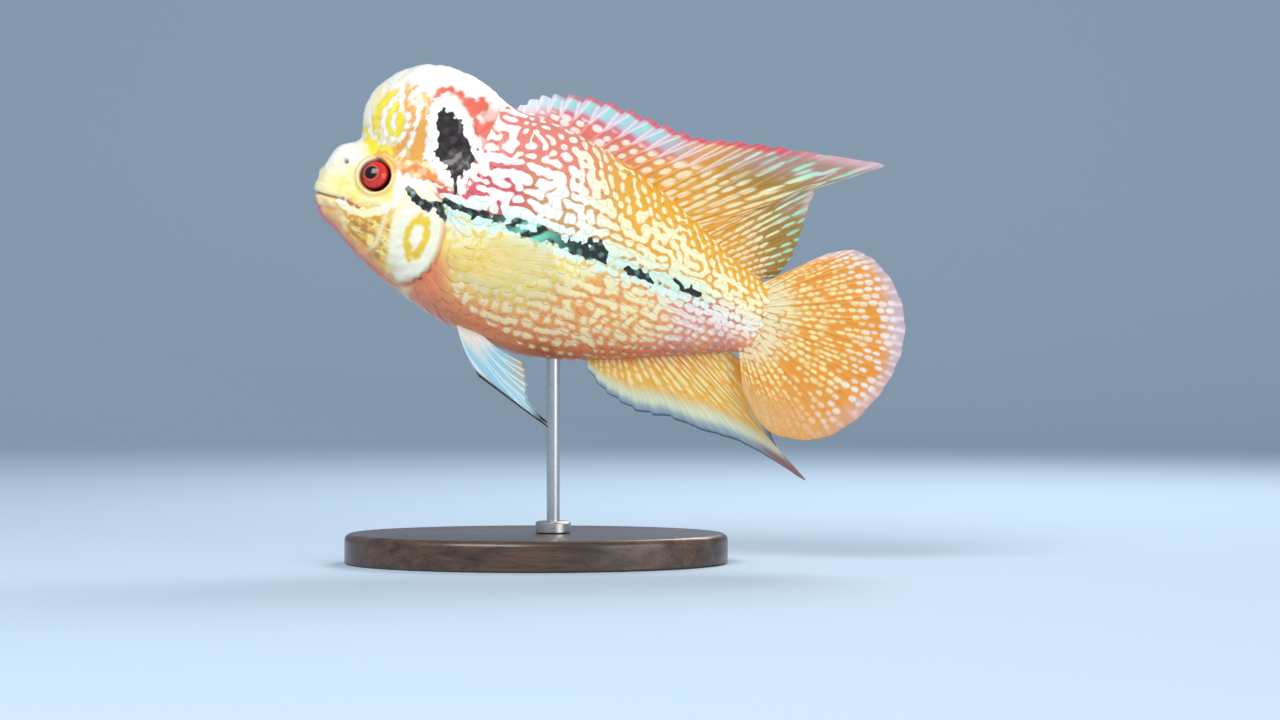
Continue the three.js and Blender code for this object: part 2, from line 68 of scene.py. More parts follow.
def mesh_piece(name, points, faces, material, smooth=True):
    """An object at the origin from points in metres and faces."""
    mesh = bpy.data.meshes.new(name)
    points = np.asarray(points, dtype=np.float32)
    mesh.from_pydata(points.tolist(), [], [list(map(int, f)) for f in faces])
    mesh.materials.append(material)
    mesh.polygons.foreach_set("use_smooth", np.full(len(mesh.polygons), smooth))
    mesh.update()
    piece = bpy.data.objects.new(name, mesh)
    bpy.context.collection.objects.link(piece)
    return piece


PAPER_BLUE = (0.5, 0.62, 0.74)
sweep_points = []
SWEEP_PROFILE = [(-3.5, 0), (1.3, 0)] + [
    (1.3 + 0.8 * math.sin(t), 0.8 - 0.8 * math.cos(t)) for t in np.linspace(0.1, math.pi / 2, 14)
] + [(2.1, 3.2)]
for y, z in SWEEP_PROFILE:
    sweep_points += [(-3, y, z), (3, y, z)]
sweep_faces = [(2 * i, 2 * i + 1, 2 * i + 3, 2 * i + 2) for i in range(len(SWEEP_PROFILE) - 1)]
paper = simple_material("paper", PAPER_BLUE, 0.9)
sweep = mesh_piece("paper_sweep", sweep_points, sweep_faces, paper)


def soft_box(name, place, aim, size, watts, colour=(1, 1, 1)):
    light = bpy.data.objects.new(name, bpy.data.lights.new(name, "AREA"))
    light.data.shape = "RECTANGLE"
    light.data.size, light.data.size_y = size
    light.data.energy = watts
    light.data.color = colour
    light.location = place
    light.rotation_euler = Vector(np.array(aim) - np.array(place)).to_track_quat("-Z", "Y").to_euler()
    bpy.context.collection.objects.link(light)


soft_box("key", (-0.35, -0.75, 0.85), (0, 0, 0.12), (0.6, 0.5), watts=8.0)
soft_box("fill", (0.8, -0.8, 0.35), (0, 0, 0.1), (0.7, 0.7), watts=4.2, colour=(1, 0.97, 0.93))
soft_box("rim", (0.35, 0.6, 0.7), (0, 0, 0.12), (0.5, 0.4), watts=5)
world = bpy.data.worlds.new("room")
bpy.context.scene.world = world
world.use_nodes = True
world.node_tree.nodes["Background"].inputs["Color"].default_value = (0.85, 0.92, 1, 1)
world.node_tree.nodes["Background"].inputs["Strength"].default_value = 0.46

# The skin: one wet hide that covers head, hump, trunk and tail stalk without a
# seam. Lips, nostrils, eye rims, cheek plate and gill cover are raised or sunk
# in it, and its markings are painted on it.
PITCH = math.radians(16)
SNOUT_AT = (-80, 0, 136)


def posed(p):
    """Points in the fish's frame, in mm, put in the row's frame in metres.
    The fish's x runs from snout to tail, z up its back and y to its right."""
    x, y, z = p[..., 0], p[..., 1], p[..., 2]
    return np.stack(
        [
            x * math.cos(PITCH) + z * math.sin(PITCH) + SNOUT_AT[0],
            y + SNOUT_AT[1],
            -x * math.sin(PITCH) + z * math.cos(PITCH) + SNOUT_AT[2],
        ],
        -1,
    ) / 1000


def through(*pairs):
    """A smooth curve through (x, value) pairs, flat past its ends."""
    xs, ys = np.array(pairs, float).T
    slopes = np.gradient(ys, xs)
    slopes[1:-1] = (ys[2:] - ys[:-2]) / (xs[2:] - xs[:-2])

    def value(x):
        x = np.clip(x, xs[0], xs[-1])
        i = np.clip(np.searchsorted(xs, x) - 1, 0, len(xs) - 2)
        h = xs[i + 1] - xs[i]
        t = (x - xs[i]) / h
        return (
            ys[i] * (1 + 2 * t) * (1 - t) ** 2
            + slopes[i] * h * t * (1 - t) ** 2
            + ys[i + 1] * t * t * (3 - 2 * t)
            + slopes[i + 1] * h * t * t * (t - 1)
        )

    return value


back = through(
    (-2, 12.6), (2, 15.8), (7.5, 19.6), (13, 24), (22, 31), (34, 38), (46, 43.4), (59, 47.6), (70, 48.2),
    (82, 46.8), (97, 43.2), (113, 37.8), (129, 30.8), (143, 23.4), (154, 17.4), (163, 13.4), (170, 12.2),
)
belly = through(
    (-2, -3.4), (2.6, -6.2), (7.3, -9.4), (12.5, -13.3), (18, -17.2), (26, -21.7), (35, -25.8), (44, -29.2),
    (53, -32.4), (63, -34.4), (74, -36), (85, -37), (95, -36.2), (104, -34.4), (113, -31.9), (126, -27.6),
    (140, -22.6), (153, -17.8), (163, -14.2), (170, -13.2),
)
width = through(
    (-2, 6), (2, 8.2), (8, 11.2), (15, 13.9), (24, 16.3), (36, 18.4), (48, 19.7), (62, 19.9), (80, 18.7),
    (98, 16.2), (116, 13), (134, 9.8), (150, 7), (160, 4.9), (166, 3.2), (170, 2.2),
)
widest = through((-2, 4), (12, 2), (30, 0), (50, 0), (75, 2), (110, 2.5), (150, 0.5), (170, -0.5))
lateral_line = through((-2, 9), (30, 9), (47, 6.2), (75, 7.6), (107, 5.4), (141, 2.6), (170, -1))


# The tail swings to the fish's left from here on.
SWING_FROM, SWING_AT_TIP, TAIL_TIP_X = 95, -17, 220


def sway(x):
    return SWING_AT_TIP * (np.maximum(0, x - SWING_FROM) / (TAIL_TIP_X - SWING_FROM)) ** 2


SNOUT_END, STALK_END = -2, 170
SNOUT_MIDDLE = 7
HUMP_X, HUMP_Z, HUMP_WIDE, HUMP_HIGH = 34.5, 33, 17, 23.8
HUMP_FRONT, HUMP_REAR, HUMP_BLEND = 25.5, 31.8, 2.6


def end_round(x):
    """One along the body, falling to nought at the snout and the stalk's end."""
    from_snout = np.clip((x - SNOUT_END) / 5, 0, 1)
    from_stalk = np.clip((STALK_END - x) / 3, 0, 1)
    return np.sqrt(1 - (1 - from_snout) ** 2) * np.sqrt(1 - (1 - from_stalk) ** 2)


def smooth(lo, hi, x):
    """Nought at lo and one at hi, with a soft slope between them."""
    t = np.clip((np.asarray(x, float) - lo) / (hi - lo), 0, 1)
    return t * t * (3 - 2 * t)


def outside(x, y, z):
    """Below zero in the fish's flesh, above zero out of it, in mm or so."""
    round_off = end_round(x)
    middle = SNOUT_MIDDLE + (widest(x) - SNOUT_MIDDLE) * np.where(x < 12, round_off, 1)
    reach = np.where(z > middle, back(x) - middle, middle - belly(x)) * round_off + 1e-6
    half = width(x) * round_off + 1e-6
    body = (np.sqrt((y / half) ** 2 + ((z - middle) / reach) ** 2) - 1) * np.minimum(half, reach)
    along = np.where(x < HUMP_X, HUMP_FRONT, HUMP_REAR)
    from_hump = ((x - HUMP_X) / along) ** 2 + (y / HUMP_WIDE) ** 2 + ((z - HUMP_Z) / HUMP_HIGH) ** 2
    hump = (np.sqrt(from_hump) - 1) * HUMP_WIDE
    share = np.clip(0.5 + 0.5 * (hump - body) / HUMP_BLEND, 0, 1)
    return hump + (body - hump) * share - HUMP_BLEND * share * (1 - share)


def flank(x, z):
    """Half the body's width at a place on its side."""
    round_off = end_round(x)
    middle = SNOUT_MIDDLE + (widest(x) - SNOUT_MIDDLE) * np.where(x < 12, round_off, 1)
    reach = np.where(z > middle, back(x) - middle, middle - belly(x)) * round_off
    return width(x) * round_off * np.sqrt(np.clip(1 - ((z - middle) / reach) ** 2, 0, 1))


AROUND = 300
HEAD_TURN = np.radians(np.linspace(0.8, 90, 118))
FAN_AT = 26.0
TRUNK_X = np.concatenate([np.arange(26.5, 64, 0.55), np.arange(64.5, 166, 1.25)])
TAIL_TURN = np.radians(np.linspace(96, 176, 9))
# The rays leave from a line through the fish and meet its surface once each.
line_z = through((26, 9), (60, 7), (100, 4), (166, 0))
starts = [(FAN_AT, math.cos(t), math.sin(t)) for t in HEAD_TURN]
starts += [(x, 0, 1) for x in TRUNK_X]
starts += [(166.0, math.cos(t), math.sin(t)) for t in TAIL_TURN]
turn = 2 * np.pi * np.arange(AROUND) / AROUND - np.pi / 2
ring = np.stack([-np.cos(turn) * 0.62, np.sin(turn)], -1)
ring /= np.linalg.norm(ring, axis=1, keepdims=True)
start_x = np.array([s[0] for s in starts])[:, None]
back_share = -np.array([s[1] for s in starts])[:, None]
side_share = np.array([s[2] for s in starts])[:, None]
ray = np.stack(
    [
        back_share + 0 * ring[None, :, 0],
        side_share * ring[None, :, 0],
        side_share * ring[None, :, 1],
    ],
    -1,
)
origin = np.stack([start_x + 0 * ray[..., 0], 0 * ray[..., 0], line_z(start_x) + 0 * ray[..., 0]], -1)
FURTHEST, HALVINGS = 75.0, 34
near = np.zeros(ray.shape[:2])
far = np.full(ray.shape[:2], FURTHEST)
for _ in range(HALVINGS):
    half_way = (near + far) / 2
    p = origin + ray * half_way[..., None]
    out = outside(p[..., 0], p[..., 1], p[..., 2]) > 0
    far = np.where(out, half_way, far)
    near = np.where(out, near, half_way)
hide = origin + ray * near[..., None]


def grid_normals(p):
    """Outward normals of a grid whose second axis closes on itself."""
    along = np.gradient(p, axis=0)
    around = np.roll(p, -1, axis=1) - np.roll(p, 1, axis=1)
    n = np.cross(around, along)
    n /= np.linalg.norm(n, axis=-1, keepdims=True) + 1e-12
    return n * np.sign((n * ray).sum(-1, keepdims=True))


def to_line(x, z, pairs):
    """Distance in mm from places on the flank to a line through pairs."""
    best = np.full(np.shape(x), 1e9)
    for (x0, z0), (x1, z1) in zip(pairs, pairs[1:]):
        dx, dz = x1 - x0, z1 - z0
        t = np.clip(((x - x0) * dx + (z - z0) * dz) / (dx * dx + dz * dz), 0, 1)
        best = np.minimum(best, np.hypot(x - x0 - t * dx, z - z0 - t * dz))
    return best


def within(x, z, pairs):
    """Distance to a closed outline, above zero inside it."""
    odd = np.zeros(np.shape(x), bool)
    for (x0, z0), (x1, z1) in zip(pairs, pairs[1:] + pairs[:1]):
        crosses = (z0 > z) != (z1 > z)
        if z1 != z0:
            odd ^= crosses & (x < (x1 - x0) * (z - z0) / (z1 - z0) + x0)
    return to_line(x, z, pairs + pairs[:1]) * np.where(odd, 1, -1)


def waves(x, z, length, seed, count=16):
    """Even noise of one wavelength, about -2 to 2, whose level lines are worms."""
    draw = np.random.default_rng(seed)
    total = np.zeros(np.shape(x))
    for a, phase in zip(draw.uniform(0, 2 * np.pi, count), draw.uniform(0, 2 * np.pi, count)):
        k = 2 * np.pi / length * draw.uniform(0.85, 1.15)
        total += np.cos(k * (x * np.cos(a) + z * np.sin(a)) + phase)
    return total / math.sqrt(count / 2)


GILL_REAR = [
    (41, 12), (45.4, 8.6), (48.2, 3.4), (49.7, -2.6), (49.9, -9), (48.8, -14.8), (46, -19.6), (42, -22.8),
]
GILL_FRONT = [(37.6, -24), (34.2, -20), (31.8, -11), (31.2, -1), (32.4, 7), (35.6, 12.2)]
CHEEK_EDGE = [(29.6, 6), (28.6, 0), (28.2, -6), (27.6, -12), (25, -17), (20.6, -18)]
EYE = (20.5, 10.6)
NOSTRIL = (8.6, 12.8)
MOUTH_Z = -0.9
# How far the folds stand out or sink in, in mm
MOUTH_DEEP, LIP_PROUD, LIP_FLATTER = 1.15, 0.9, 0.55
EYE_RIM_PROUD, EYE_SOCKET_DEEP = 0.75, 3.2
COVER_PROUD, COVER_GROOVE, CHEEK_PROUD, THROAT_DEEP = 0.85, 1.1, 0.5, 0.5

normal = grid_normals(hide)
x, z = hide[..., 0], hide[..., 2]
mouth_line = z - MOUTH_Z
at_mouth = 1 - smooth(10.6, 13, x)
lip_height = LIP_PROUD - LIP_FLATTER * smooth(1, 11.5, x)
relief = -MOUTH_DEEP * np.exp(-((mouth_line / 0.5) ** 2)) * at_mouth
relief += lip_height * at_mouth * np.sqrt(np.clip(1 - ((mouth_line - 2) / 2.3) ** 2, 0, 1))
relief += 0.9 * lip_height * at_mouth * np.sqrt(np.clip(1 - ((mouth_line + 1.9) / 2.0) ** 2, 0, 1))
relief -= 0.8 * (1 - smooth(-1.5, 5, x))
# A fuller chin and nose
front_end = np.exp(-(((x - 5) / 5) ** 2))
relief += 1.3 * front_end * smooth(-3, -7, z)
relief += 1.1 * front_end * smooth(9, 14, z)
fold = to_line(x, z, [(11.4, -1.0), (14.5, -1.9), (19, -3.2)])
relief -= 0.45 * np.exp(-((fold / 0.7) ** 2))
to_eye = np.hypot(x - EYE[0], z - EYE[1])
relief += EYE_RIM_PROUD * np.exp(-((to_eye - 6.6) ** 2))
relief -= EYE_SOCKET_DEEP * (1 - smooth(4.9, 6.1, to_eye))
to_nostril = np.hypot(x - NOSTRIL[0], z - NOSTRIL[1])
relief += 0.4 * np.exp(-(((to_nostril - 1.45) / 0.5) ** 2)) - 0.9 * np.exp(-((to_nostril / 0.75) ** 2))
cover = within(x, z, GILL_REAR + GILL_FRONT)
behind = smooth(34, 42, x)
relief += COVER_PROUD * smooth(-0.2, 1.0, cover) * (0.25 + 0.75 * behind)
relief -= COVER_GROOVE * np.exp(-(((cover + 1.0) / 0.8) ** 2)) * behind
to_cheek = to_line(x, z, CHEEK_EDGE)
relief += CHEEK_PROUD * np.exp(-((to_cheek / 0.9) ** 2))
throat = to_line(x, z, [(16, -14.5), (27, -20.5), (40, -26.5)])
relief -= THROAT_DEEP * np.exp(-((throat / 0.8) ** 2))
relief += 0.13 * waves(x, z, 9, 3) * (1 - smooth(50, 60, x)) * smooth(6.5, 9, to_eye)
relief += 0.07 * waves(x, z, 3.4, 5) * (1 - smooth(50, 60, x)) * smooth(6.5, 9, to_eye)
# A muscle fold down the flank
relief += 0.25 * np.exp(-(((z - lateral_line(x)) / 3) ** 2)) * smooth(60, 90, x)
hide = hide + normal * relief[..., None]
normal = grid_normals(hide)
hide_swung = hide.copy()
hide_swung[..., 1] += sway(hide[..., 0])


def lin(*srgb):
    """A colour as a screen shows it, made linear."""
    c = np.array(srgb, float)
    return np.where(c <= 0.04045, c / 12.92, ((c + 0.055) / 1.055) ** 2.4)


def mix(a, b, share):
    share = np.asarray(share)[..., None]
    return a * (1 - share) + b * share


# Body colours: the ground between the pearls, then the pearls themselves
ROSE, PINK, TAN = lin(0.85, 0.34, 0.38), lin(0.92, 0.52, 0.46), lin(0.82, 0.62, 0.4)
GOLD, BUTTER, PEACH = lin(0.94, 0.67, 0.18), lin(0.97, 0.86, 0.46), lin(0.95, 0.63, 0.34)
SALMON, VENT, MAUVE = lin(0.93, 0.53, 0.36), lin(0.74, 0.38, 0.2), lin(0.84, 0.53, 0.5)
WHITE, CREAM, STRAW = lin(0.99, 0.975, 0.94), lin(0.99, 0.94, 0.76), lin(0.99, 0.92, 0.69)
MINT, NIGHT, TURQUOISE = lin(0.8, 0.97, 0.91), lin(0.05, 0.08, 0.075), lin(0.5, 0.86, 0.76)


def ground_colour(x, z):
    up = np.clip((z - lateral_line(x)) / (back(x) - lateral_line(x)), 0, 1)
    down = np.clip((lateral_line(x) - z) / (lateral_line(x) - belly(x)), 0, 1)
    above = mix(ROSE, TAN, smooth(72, 90, x + 14 * up))
    above = mix(above, PINK, smooth(0.35, 0.7, up) * (1 - smooth(88, 112, x)))
    above = mix(above, GOLD, smooth(96, 122, x + 10 * up) * smooth(0.04, 0.3, up))
    above = mix(above, GOLD, 0.6 * smooth(140, 152, x) * smooth(0.1, 0.5, up))
    below = mix(BUTTER, PEACH, smooth(0.5, 0.85, down + 0.6 * smooth(76, 118, x)))
    below = mix(below, SALMON, smooth(0.6, 0.95, down))
    below = mix(below, MAUVE, smooth(126, 146, x) * (1 - smooth(158, 169, x)) * (1 - 0.5 * down))
    below = mix(below, SALMON, (1 - smooth(51, 60, x)) * smooth(0.3, 0.6, down))
    near_vent = np.exp(-(((x - 99) / 9) ** 2) - ((z + 34) / 5) ** 2)
    below = mix(below, VENT, 0.8 * near_vent)
    blush = smooth(0.2, 1.4, waves(x, z, 14, 16))
    below = mix(below, PEACH, 0.5 * blush * smooth(75, 100, x))
    return mix(below, above, smooth(-1, 1, z - lateral_line(x)))


def pearl_colour(x, z):
    up = z - lateral_line(x)
    share = np.clip(up / (back(x) - lateral_line(x)), 0, 1)
    above = mix(WHITE, CREAM, smooth(96, 122, x + 24 * share))
    below = mix(STRAW, lin(1.0, 0.88, 0.68), smooth(12, 30, -up))
    below = mix(below, lin(0.98, 0.88, 0.84), smooth(124, 146, x))
    below = mix(WHITE, below, smooth(2, 9, -up))
    colour = mix(below, above, smooth(-5, 1, up))
    return mix(colour, MINT, 0.75 * np.exp(-(((up + 1) / 4.5) ** 2)) * (1 - smooth(135, 160, x)))


# The pearls and the scales stand in rows counted from the lateral line down
# and in columns from the gill cover back, odd rows half a column on.
PITCH_ALONG = through((44, 4.9), (80, 4.8), (120, 4.2), (168, 2.9))
PITCH_ACROSS = through((44, 4.3), (80, 4.3), (120, 3.6), (168, 2.4))
FULL_PITCH = 4.8
LATTICE_STEP = 0.25
lattice_x = np.arange(24, 182, LATTICE_STEP)
lattice_column = np.concatenate([[0], np.cumsum(LATTICE_STEP / PITCH_ALONG(lattice_x[:-1]))])
TABLE = 64
chance = np.random.default_rng(17).uniform(0, 1, (8, TABLE, TABLE))


def column_of(x):
    return np.interp(x, lattice_x, lattice_column)


def x_of(column):
    return np.interp(column, lattice_column, lattice_x)


def pearl_radius(x, z):
    """The pearls' radius in mm, which falls to nothing on breast and belly."""
    up = z - lateral_line(x)
    share = np.clip(up / (back(x) - lateral_line(x)), 0, 1)
    size = 2.0 - 0.5 * smooth(0.45, 0.8, share) * smooth(58, 72, x) - 0.42 * smooth(3, 16, -up)
    size = size - 0.36 * smooth(94, 112, x) * smooth(0.12, 0.3, share)
    size = size - 0.3 * smooth(86, 70, x) * smooth(1, 5, up)
    size = size * PITCH_ALONG(x) / FULL_PITCH
    size = size - 2.4 * smooth(3.5, 1, z - belly(x) + 0.25 * (x - 90)) - 0.7 * smooth(8, 2, z - belly(x))
    return size - 2.2 * (1 - smooth(51, 62, x)) * smooth(8, 18, -up)


def join_chance(x, z):
    """How often a pearl runs into the next of its row, and into the next row's."""
    up = z - lateral_line(x)
    share = np.clip(up / (back(x) - lateral_line(x)), 0, 1)
    upper = smooth(0.5, 0.75, share) * smooth(58, 72, x)
    along = 0.3 + 0.14 * smooth(72, 96, x) - 0.34 * upper - 0.2 * smooth(4, 14, -up)
    across = 0.17 - 0.1 * upper - 0.12 * smooth(4, 14, -up)
    return along, across + 0.08 * smooth(118, 140, x) * smooth(0, 4, up)


def pearl_field(column, row, x, z, side):
    """How deep in mm a place lies in a pearl, or in the join of two pearls."""
    along, across = PITCH_ALONG(x), PITCH_ACROSS(x)
    radius = pearl_radius(x, z)
    join_along, join_across = join_chance(x, z)
    bar_width = 0.82 * radius - 0.6 * smooth(1.5, 0.9, radius * FULL_PITCH / along)
    column = column + 0.14 * waves(x, z, 12, 41)
    row = row + 0.14 * waves(x, z, 12, 42)
    up = z - lateral_line(x)
    oblique = smooth(0.3, 0.6, up / (back(x) - lateral_line(x))) * smooth(76, 92, x)
    lean = math.radians(-58)
    lengthen = 1 + 0.55 * oblique
    best = np.full(np.shape(x), -3.0)

    def centre(r, c):
        i, j = r % TABLE, (c + 17 * side) % TABLE
        at_c = c + 0.5 * (r % 2) + 0.2 * (chance[0, i, j] - 0.5)
        at_r = r + 0.2 * (chance[1, i, j] - 0.5)
        return (column - at_c) * along, (row - at_r) * across, i, j

    first_row = np.floor(row).astype(int)
    for dr in (-1, 0, 1, 2):
        r = first_row + dr
        first_column = np.floor(column - 0.5 * (r % 2)).astype(int)
        for dc in (-1, 0, 1, 2):
            c = first_column + dc
            u, v, i, j = centre(r, c)
            own = radius * (0.86 + 0.26 * chance[2, i, j])
            a = u * math.cos(lean) - v * math.sin(lean)
            b = u * math.sin(lean) + v * math.cos(lean)
            slanted = np.hypot(a / lengthen, b * (1 + 0.15 * oblique))
            best = np.maximum(best, own - np.where(oblique > 0, slanted, np.hypot(0.86 * u, v)))
            odd = r % 2
            for k, r2, c2, odds in (
                (3, r, c + 1, join_along),
                (4, r + 1, c + odd, join_across),
                (5, r + 1, c + odd - 1, 0.6 * join_across),
            ):
                u2, v2, _, _ = centre(r2, c2)
                du, dv = u - u2, v - v2
                t = np.clip((u * du + v * dv) / (du * du + dv * dv), 0, 1)
                bar = bar_width - np.hypot(u - t * du, v - t * dv)
                best = np.maximum(best, np.where(chance[k, i, j] < odds, bar, -3))
    best = best + 0.17 * waves(x, z, 3.1, 43) * radius / 2
    # Below the line the pearls are only blurs
    return best * (1 - 0.62 * smooth(4, 11, -up))


LATERAL_MARKS = [
    ((34.3, 8.3), (42.6, 4.6), 1.2), ((45.7, 7), (49.2, 2.9), 1.0), ((48.2, 8.7), (54, 7.1), 1.3),
    ((54, 7.1), (64.7, 7.1), 1.2), ((66.1, 7.5), (78, 8.6), 1.0), ((72.5, 6.3), (85.2, 4.6), 1.9),
    ((82.5, 8.2), (91.7, 5.8), 1.6), ((95.4, 5.8), (107.4, 5.6), 2.5), ((101, 9), (107, 8), 1.6),
    ((117.7, 3.7), (123.8, 2.6), 1.5), ((124, 2.5), (129.4, 0.5), 1.0), ((135.9, 3.2), (144.8, 2), 1.1),
]


def lateral_field(x, z, pearls):
    """How deep in mm a place lies in the flank's dark marks, whose edges the
    pearls scallop, and how much of their mint glint it shows."""
    ragged = 0.5 * waves(x, z, 4.2, 11) + 0.35 * waves(x, z, 2.1, 12)
    inside = np.full(np.shape(x), -9.0)
    for a, b, radius in LATERAL_MARKS:
        inside = np.maximum(inside, radius - to_line(x, z, [a, b]))
    depth = inside + 0.65 * ragged + 0.5 - 1.2 * np.clip(pearls, 0, 1.1)
    glint = smooth(-0.5, 0.7, waves(x, z, 6.2, 14)) * np.exp(-(((x - 81) / 9) ** 2))
    return depth, np.maximum(glint, 0.3 * smooth(0.7, 1.6, waves(x, z, 3.6, 15)))


# Face colours
SNOW, LEMON, OCHRE = lin(0.975, 0.96, 0.92), lin(0.98, 0.9, 0.22), lin(0.9, 0.66, 0.22)
IVORY, AMBER, CORAL = lin(1.0, 0.96, 0.74), lin(0.94, 0.67, 0.29), lin(0.92, 0.42, 0.34)
TANGERINE, MAGENTA, INK = lin(0.93, 0.56, 0.26), lin(0.88, 0.3, 0.46), lin(0.085, 0.045, 0.05)
BLOTCH = [
    (36.2, 40.4), (40.9, 39.8), (45.8, 36.7), (48.1, 32.0), (52.1, 29.2), (53.9, 25.1),
    (51.9, 22.3), (50.8, 18.3), (48.0, 17.8), (44.2, 20.4), (39.2, 23.1), (39.4, 26.9), (37.5, 32.8),
]
# Lines on hump and cheek: colour, half width in mm and course
FACE_LINES = [
    (LEMON, 1.1, [
        (18.2, 40.6), (15.5, 35.6), (14.6, 30.8), (14.6, 25.4), (18.8, 21.3), (24, 20.5), (28.4, 22.5),
        (30, 27.6),
    ]),
    (LEMON, 1.3, [(20.3, 37.3), (19.9, 32.3), (20, 28.3), (23.9, 27.6), (24.3, 30.9), (21.9, 34.4)]),
    (LEMON, 1.5, [(12.8, 26.2), (14.7, 22.4), (18.7, 19), (24, 19)]),
    (AMBER, 2.1, [
        (23.2, 42), (24.2, 39.6), (27.1, 37.4), (30.5, 36.1), (32.2, 30.5), (32.5, 25.3), (34.8, 20.8),
        (38.4, 17.4),
    ]),
    (AMBER, 0.8, [(24.9, 45.1), (23.5, 42.1)]),
    (AMBER, 0.7, [(29, 44), (30.3, 42.1), (33, 40.5)]),
    (AMBER, 1.1, [(27.4, 34.5), (28, 29), (27.2, 24), (25.5, 21)]),
    (CORAL, 0.7, [(33.9, 41.6), (34.3, 46.6), (37.9, 47.7), (41.8, 47.3), (47, 43), (50.3, 38.7)]),
    (CORAL, 1.7, [(46.6, 44.6), (49.4, 44.2), (50.2, 46)]),
    (CORAL, 1.6, [(51, 37.2), (54, 36.6), (55, 39.2)]),
    (TANGERINE, 1.9, [(24.1, 16), (30.1, 16.8), (35.5, 16.4), (40.4, 14.8), (45, 11.8)]),
    (AMBER, 1.3, [(19.8, 18.2), (24.5, 17.8), (30.9, 19.3)]),
    (SNOW, 0.5, [
        (19.6, 40), (17.3, 34.6), (17.4, 30.2), (20.2, 25.6), (24.5, 24.6), (27, 28), (26, 34), (22.5, 38.5),
        (20.4, 47),
    ]),
    (SNOW, 0.45, [(21.6, 34.5), (21.2, 30.6), (22.6, 29.4)]),
    (SNOW, 0.5, [
        (29.3, 45.7), (25.4, 43.4), (25.4, 40.4), (29.4, 38.4), (29.8, 32), (30, 26), (27.6, 20.8),
    ]),
    (SNOW, 0.4, [(12.2, 33), (12.4, 28), (15.6, 23.6), (20, 22.6)]),
    (SNOW, 0.45, [(36.4, 38), (35, 31.6), (35.6, 25.4), (38.6, 20.6)]),
]
CHEEK_LINES = [
    [(22, -2.9), (27.2, -5.2), (30.4, -5.8)],
    [(20.8, -9.3), (25.4, -9.5), (29, -12.5)],
    [(16.4, -7.5), (18.9, -8.3), (22.7, -8)],
    [(12.7, -7.8), (18.3, -11.5), (24.5, -14.3), (29.6, -17)],
    [(13, -4.6), (17, -5.8), (19.5, -5.2), (24, -6.6)],
]
# The white band from the corner of the mouth, under the eye, to the nape
FACE_BAND = [
    (11, -1.8), (15.2, -3.8), (21, -3.2), (27.2, -0.6), (30.3, 3.7), (30.9, 8.8), (34.6, 11.6), (40.3, 12.7),
    (45.2, 11.8),
]
YOLK_SPOTS = [(14.8, 19.6, 3.2), (22.5, 17.6, 3.0), (9.3, 4.2, 4.0), (26.4, 5.6, 3.5), (15, 3, 4)]
x, z = hide[..., 0], hide[..., 2]
worm_field = waves(x, z, 5.4, 21)
fine_field = waves(x, z, 3.2, 22)
colour = mix(SNOW, IVORY, smooth(15, 4, z + 2 * worm_field))
yolk = 0.45 * smooth(-0.4, 1.0, waves(x, z, 11, 23)) * smooth(17, 8, z) * smooth(3, 10, x)
for spot_x, spot_z, spot_r in YOLK_SPOTS:
    yolk = np.maximum(yolk, 0.75 * np.exp(-(((x - spot_x) ** 2 + (z - spot_z) ** 2) / spot_r**2)))
colour = mix(colour, LEMON, 0.75 * yolk)
# The hump: a white crown, washes of lemon and amber below it, then the lines
on_hump = smooth(20.5, 24.5, z + 0.35 * (x - 22)) * smooth(9.5, 12.5, x)
wash = smooth(46, 37, z + 1.5 * worm_field) * on_hump * (0.45 + 0.3 * smooth(-0.5, 1.2, worm_field))
colour = mix(colour, mix(LEMON, AMBER, smooth(23, 29, x)), wash * smooth(37, 33, x))
colour = mix(colour, PINK, 0.5 * smooth(49, 53, x + 0.3 * worm_field) * smooth(47, 44, z))
for tint, half, course in FACE_LINES:
    near = to_line(x, z, course) + 0.4 * fine_field
    # A thin brown outline runs along each line
    outline = np.exp(-(((near - 1.3 * half - 0.4) / 0.3) ** 2))
    colour = mix(colour, lin(0.84, 0.55, 0.35), 0.4 * outline * on_hump)
    colour = mix(colour, tint, smooth(1.3 * half + 0.4, 1.3 * half - 0.1, near))
behind_eye = smooth(12, 15, z) * smooth(22, 20, z) * smooth(26, 28, x)
colour = mix(colour, IVORY, 0.8 * smooth(0.9, 1.4, waves(x, z, 4.6, 25)) * behind_eye)
pale_depth = np.full(x.shape, -3.0)
pale_colour = mix(SNOW, IVORY, 0.3 * smooth(-1, 1, worm_field))
# The cheek: ochre mottled with pale worms
cheek = smooth(3.5, -2, z + 0.12 * (x - 10)) * smooth(10, 15, x + 0.3 * z) * smooth(34, 31, x)
cheek_worm = smooth(-0.3, 0.35, waves(x, z, 4.8, 26))
colour = mix(colour, mix(lin(0.95, 0.77, 0.27), lin(1.0, 0.92, 0.55), cheek_worm), cheek * 0.95)
pale_colour = mix(pale_colour, IVORY, cheek)
veins = smooth(0.34, 0.12, np.abs(waves(x, z, 6.5, 27))) * smooth(11, 15, x)
for course in CHEEK_LINES:
    veins = np.maximum(veins, smooth(0.9, 0.4, to_line(x, z, course) + 0.2 * fine_field))
colour = mix(colour, lin(0.8, 0.46, 0.18), 0.85 * veins * cheek)
band = to_line(x, z, FACE_BAND) + 0.3 * fine_field
colour = mix(colour, OCHRE, smooth(3.8, 2.2, band) * smooth(1.5, -3.5, z - 0.15 * (x - 20)) * 0.8)
pale_depth = np.maximum(pale_depth, 0.7 * (1.5 - band))
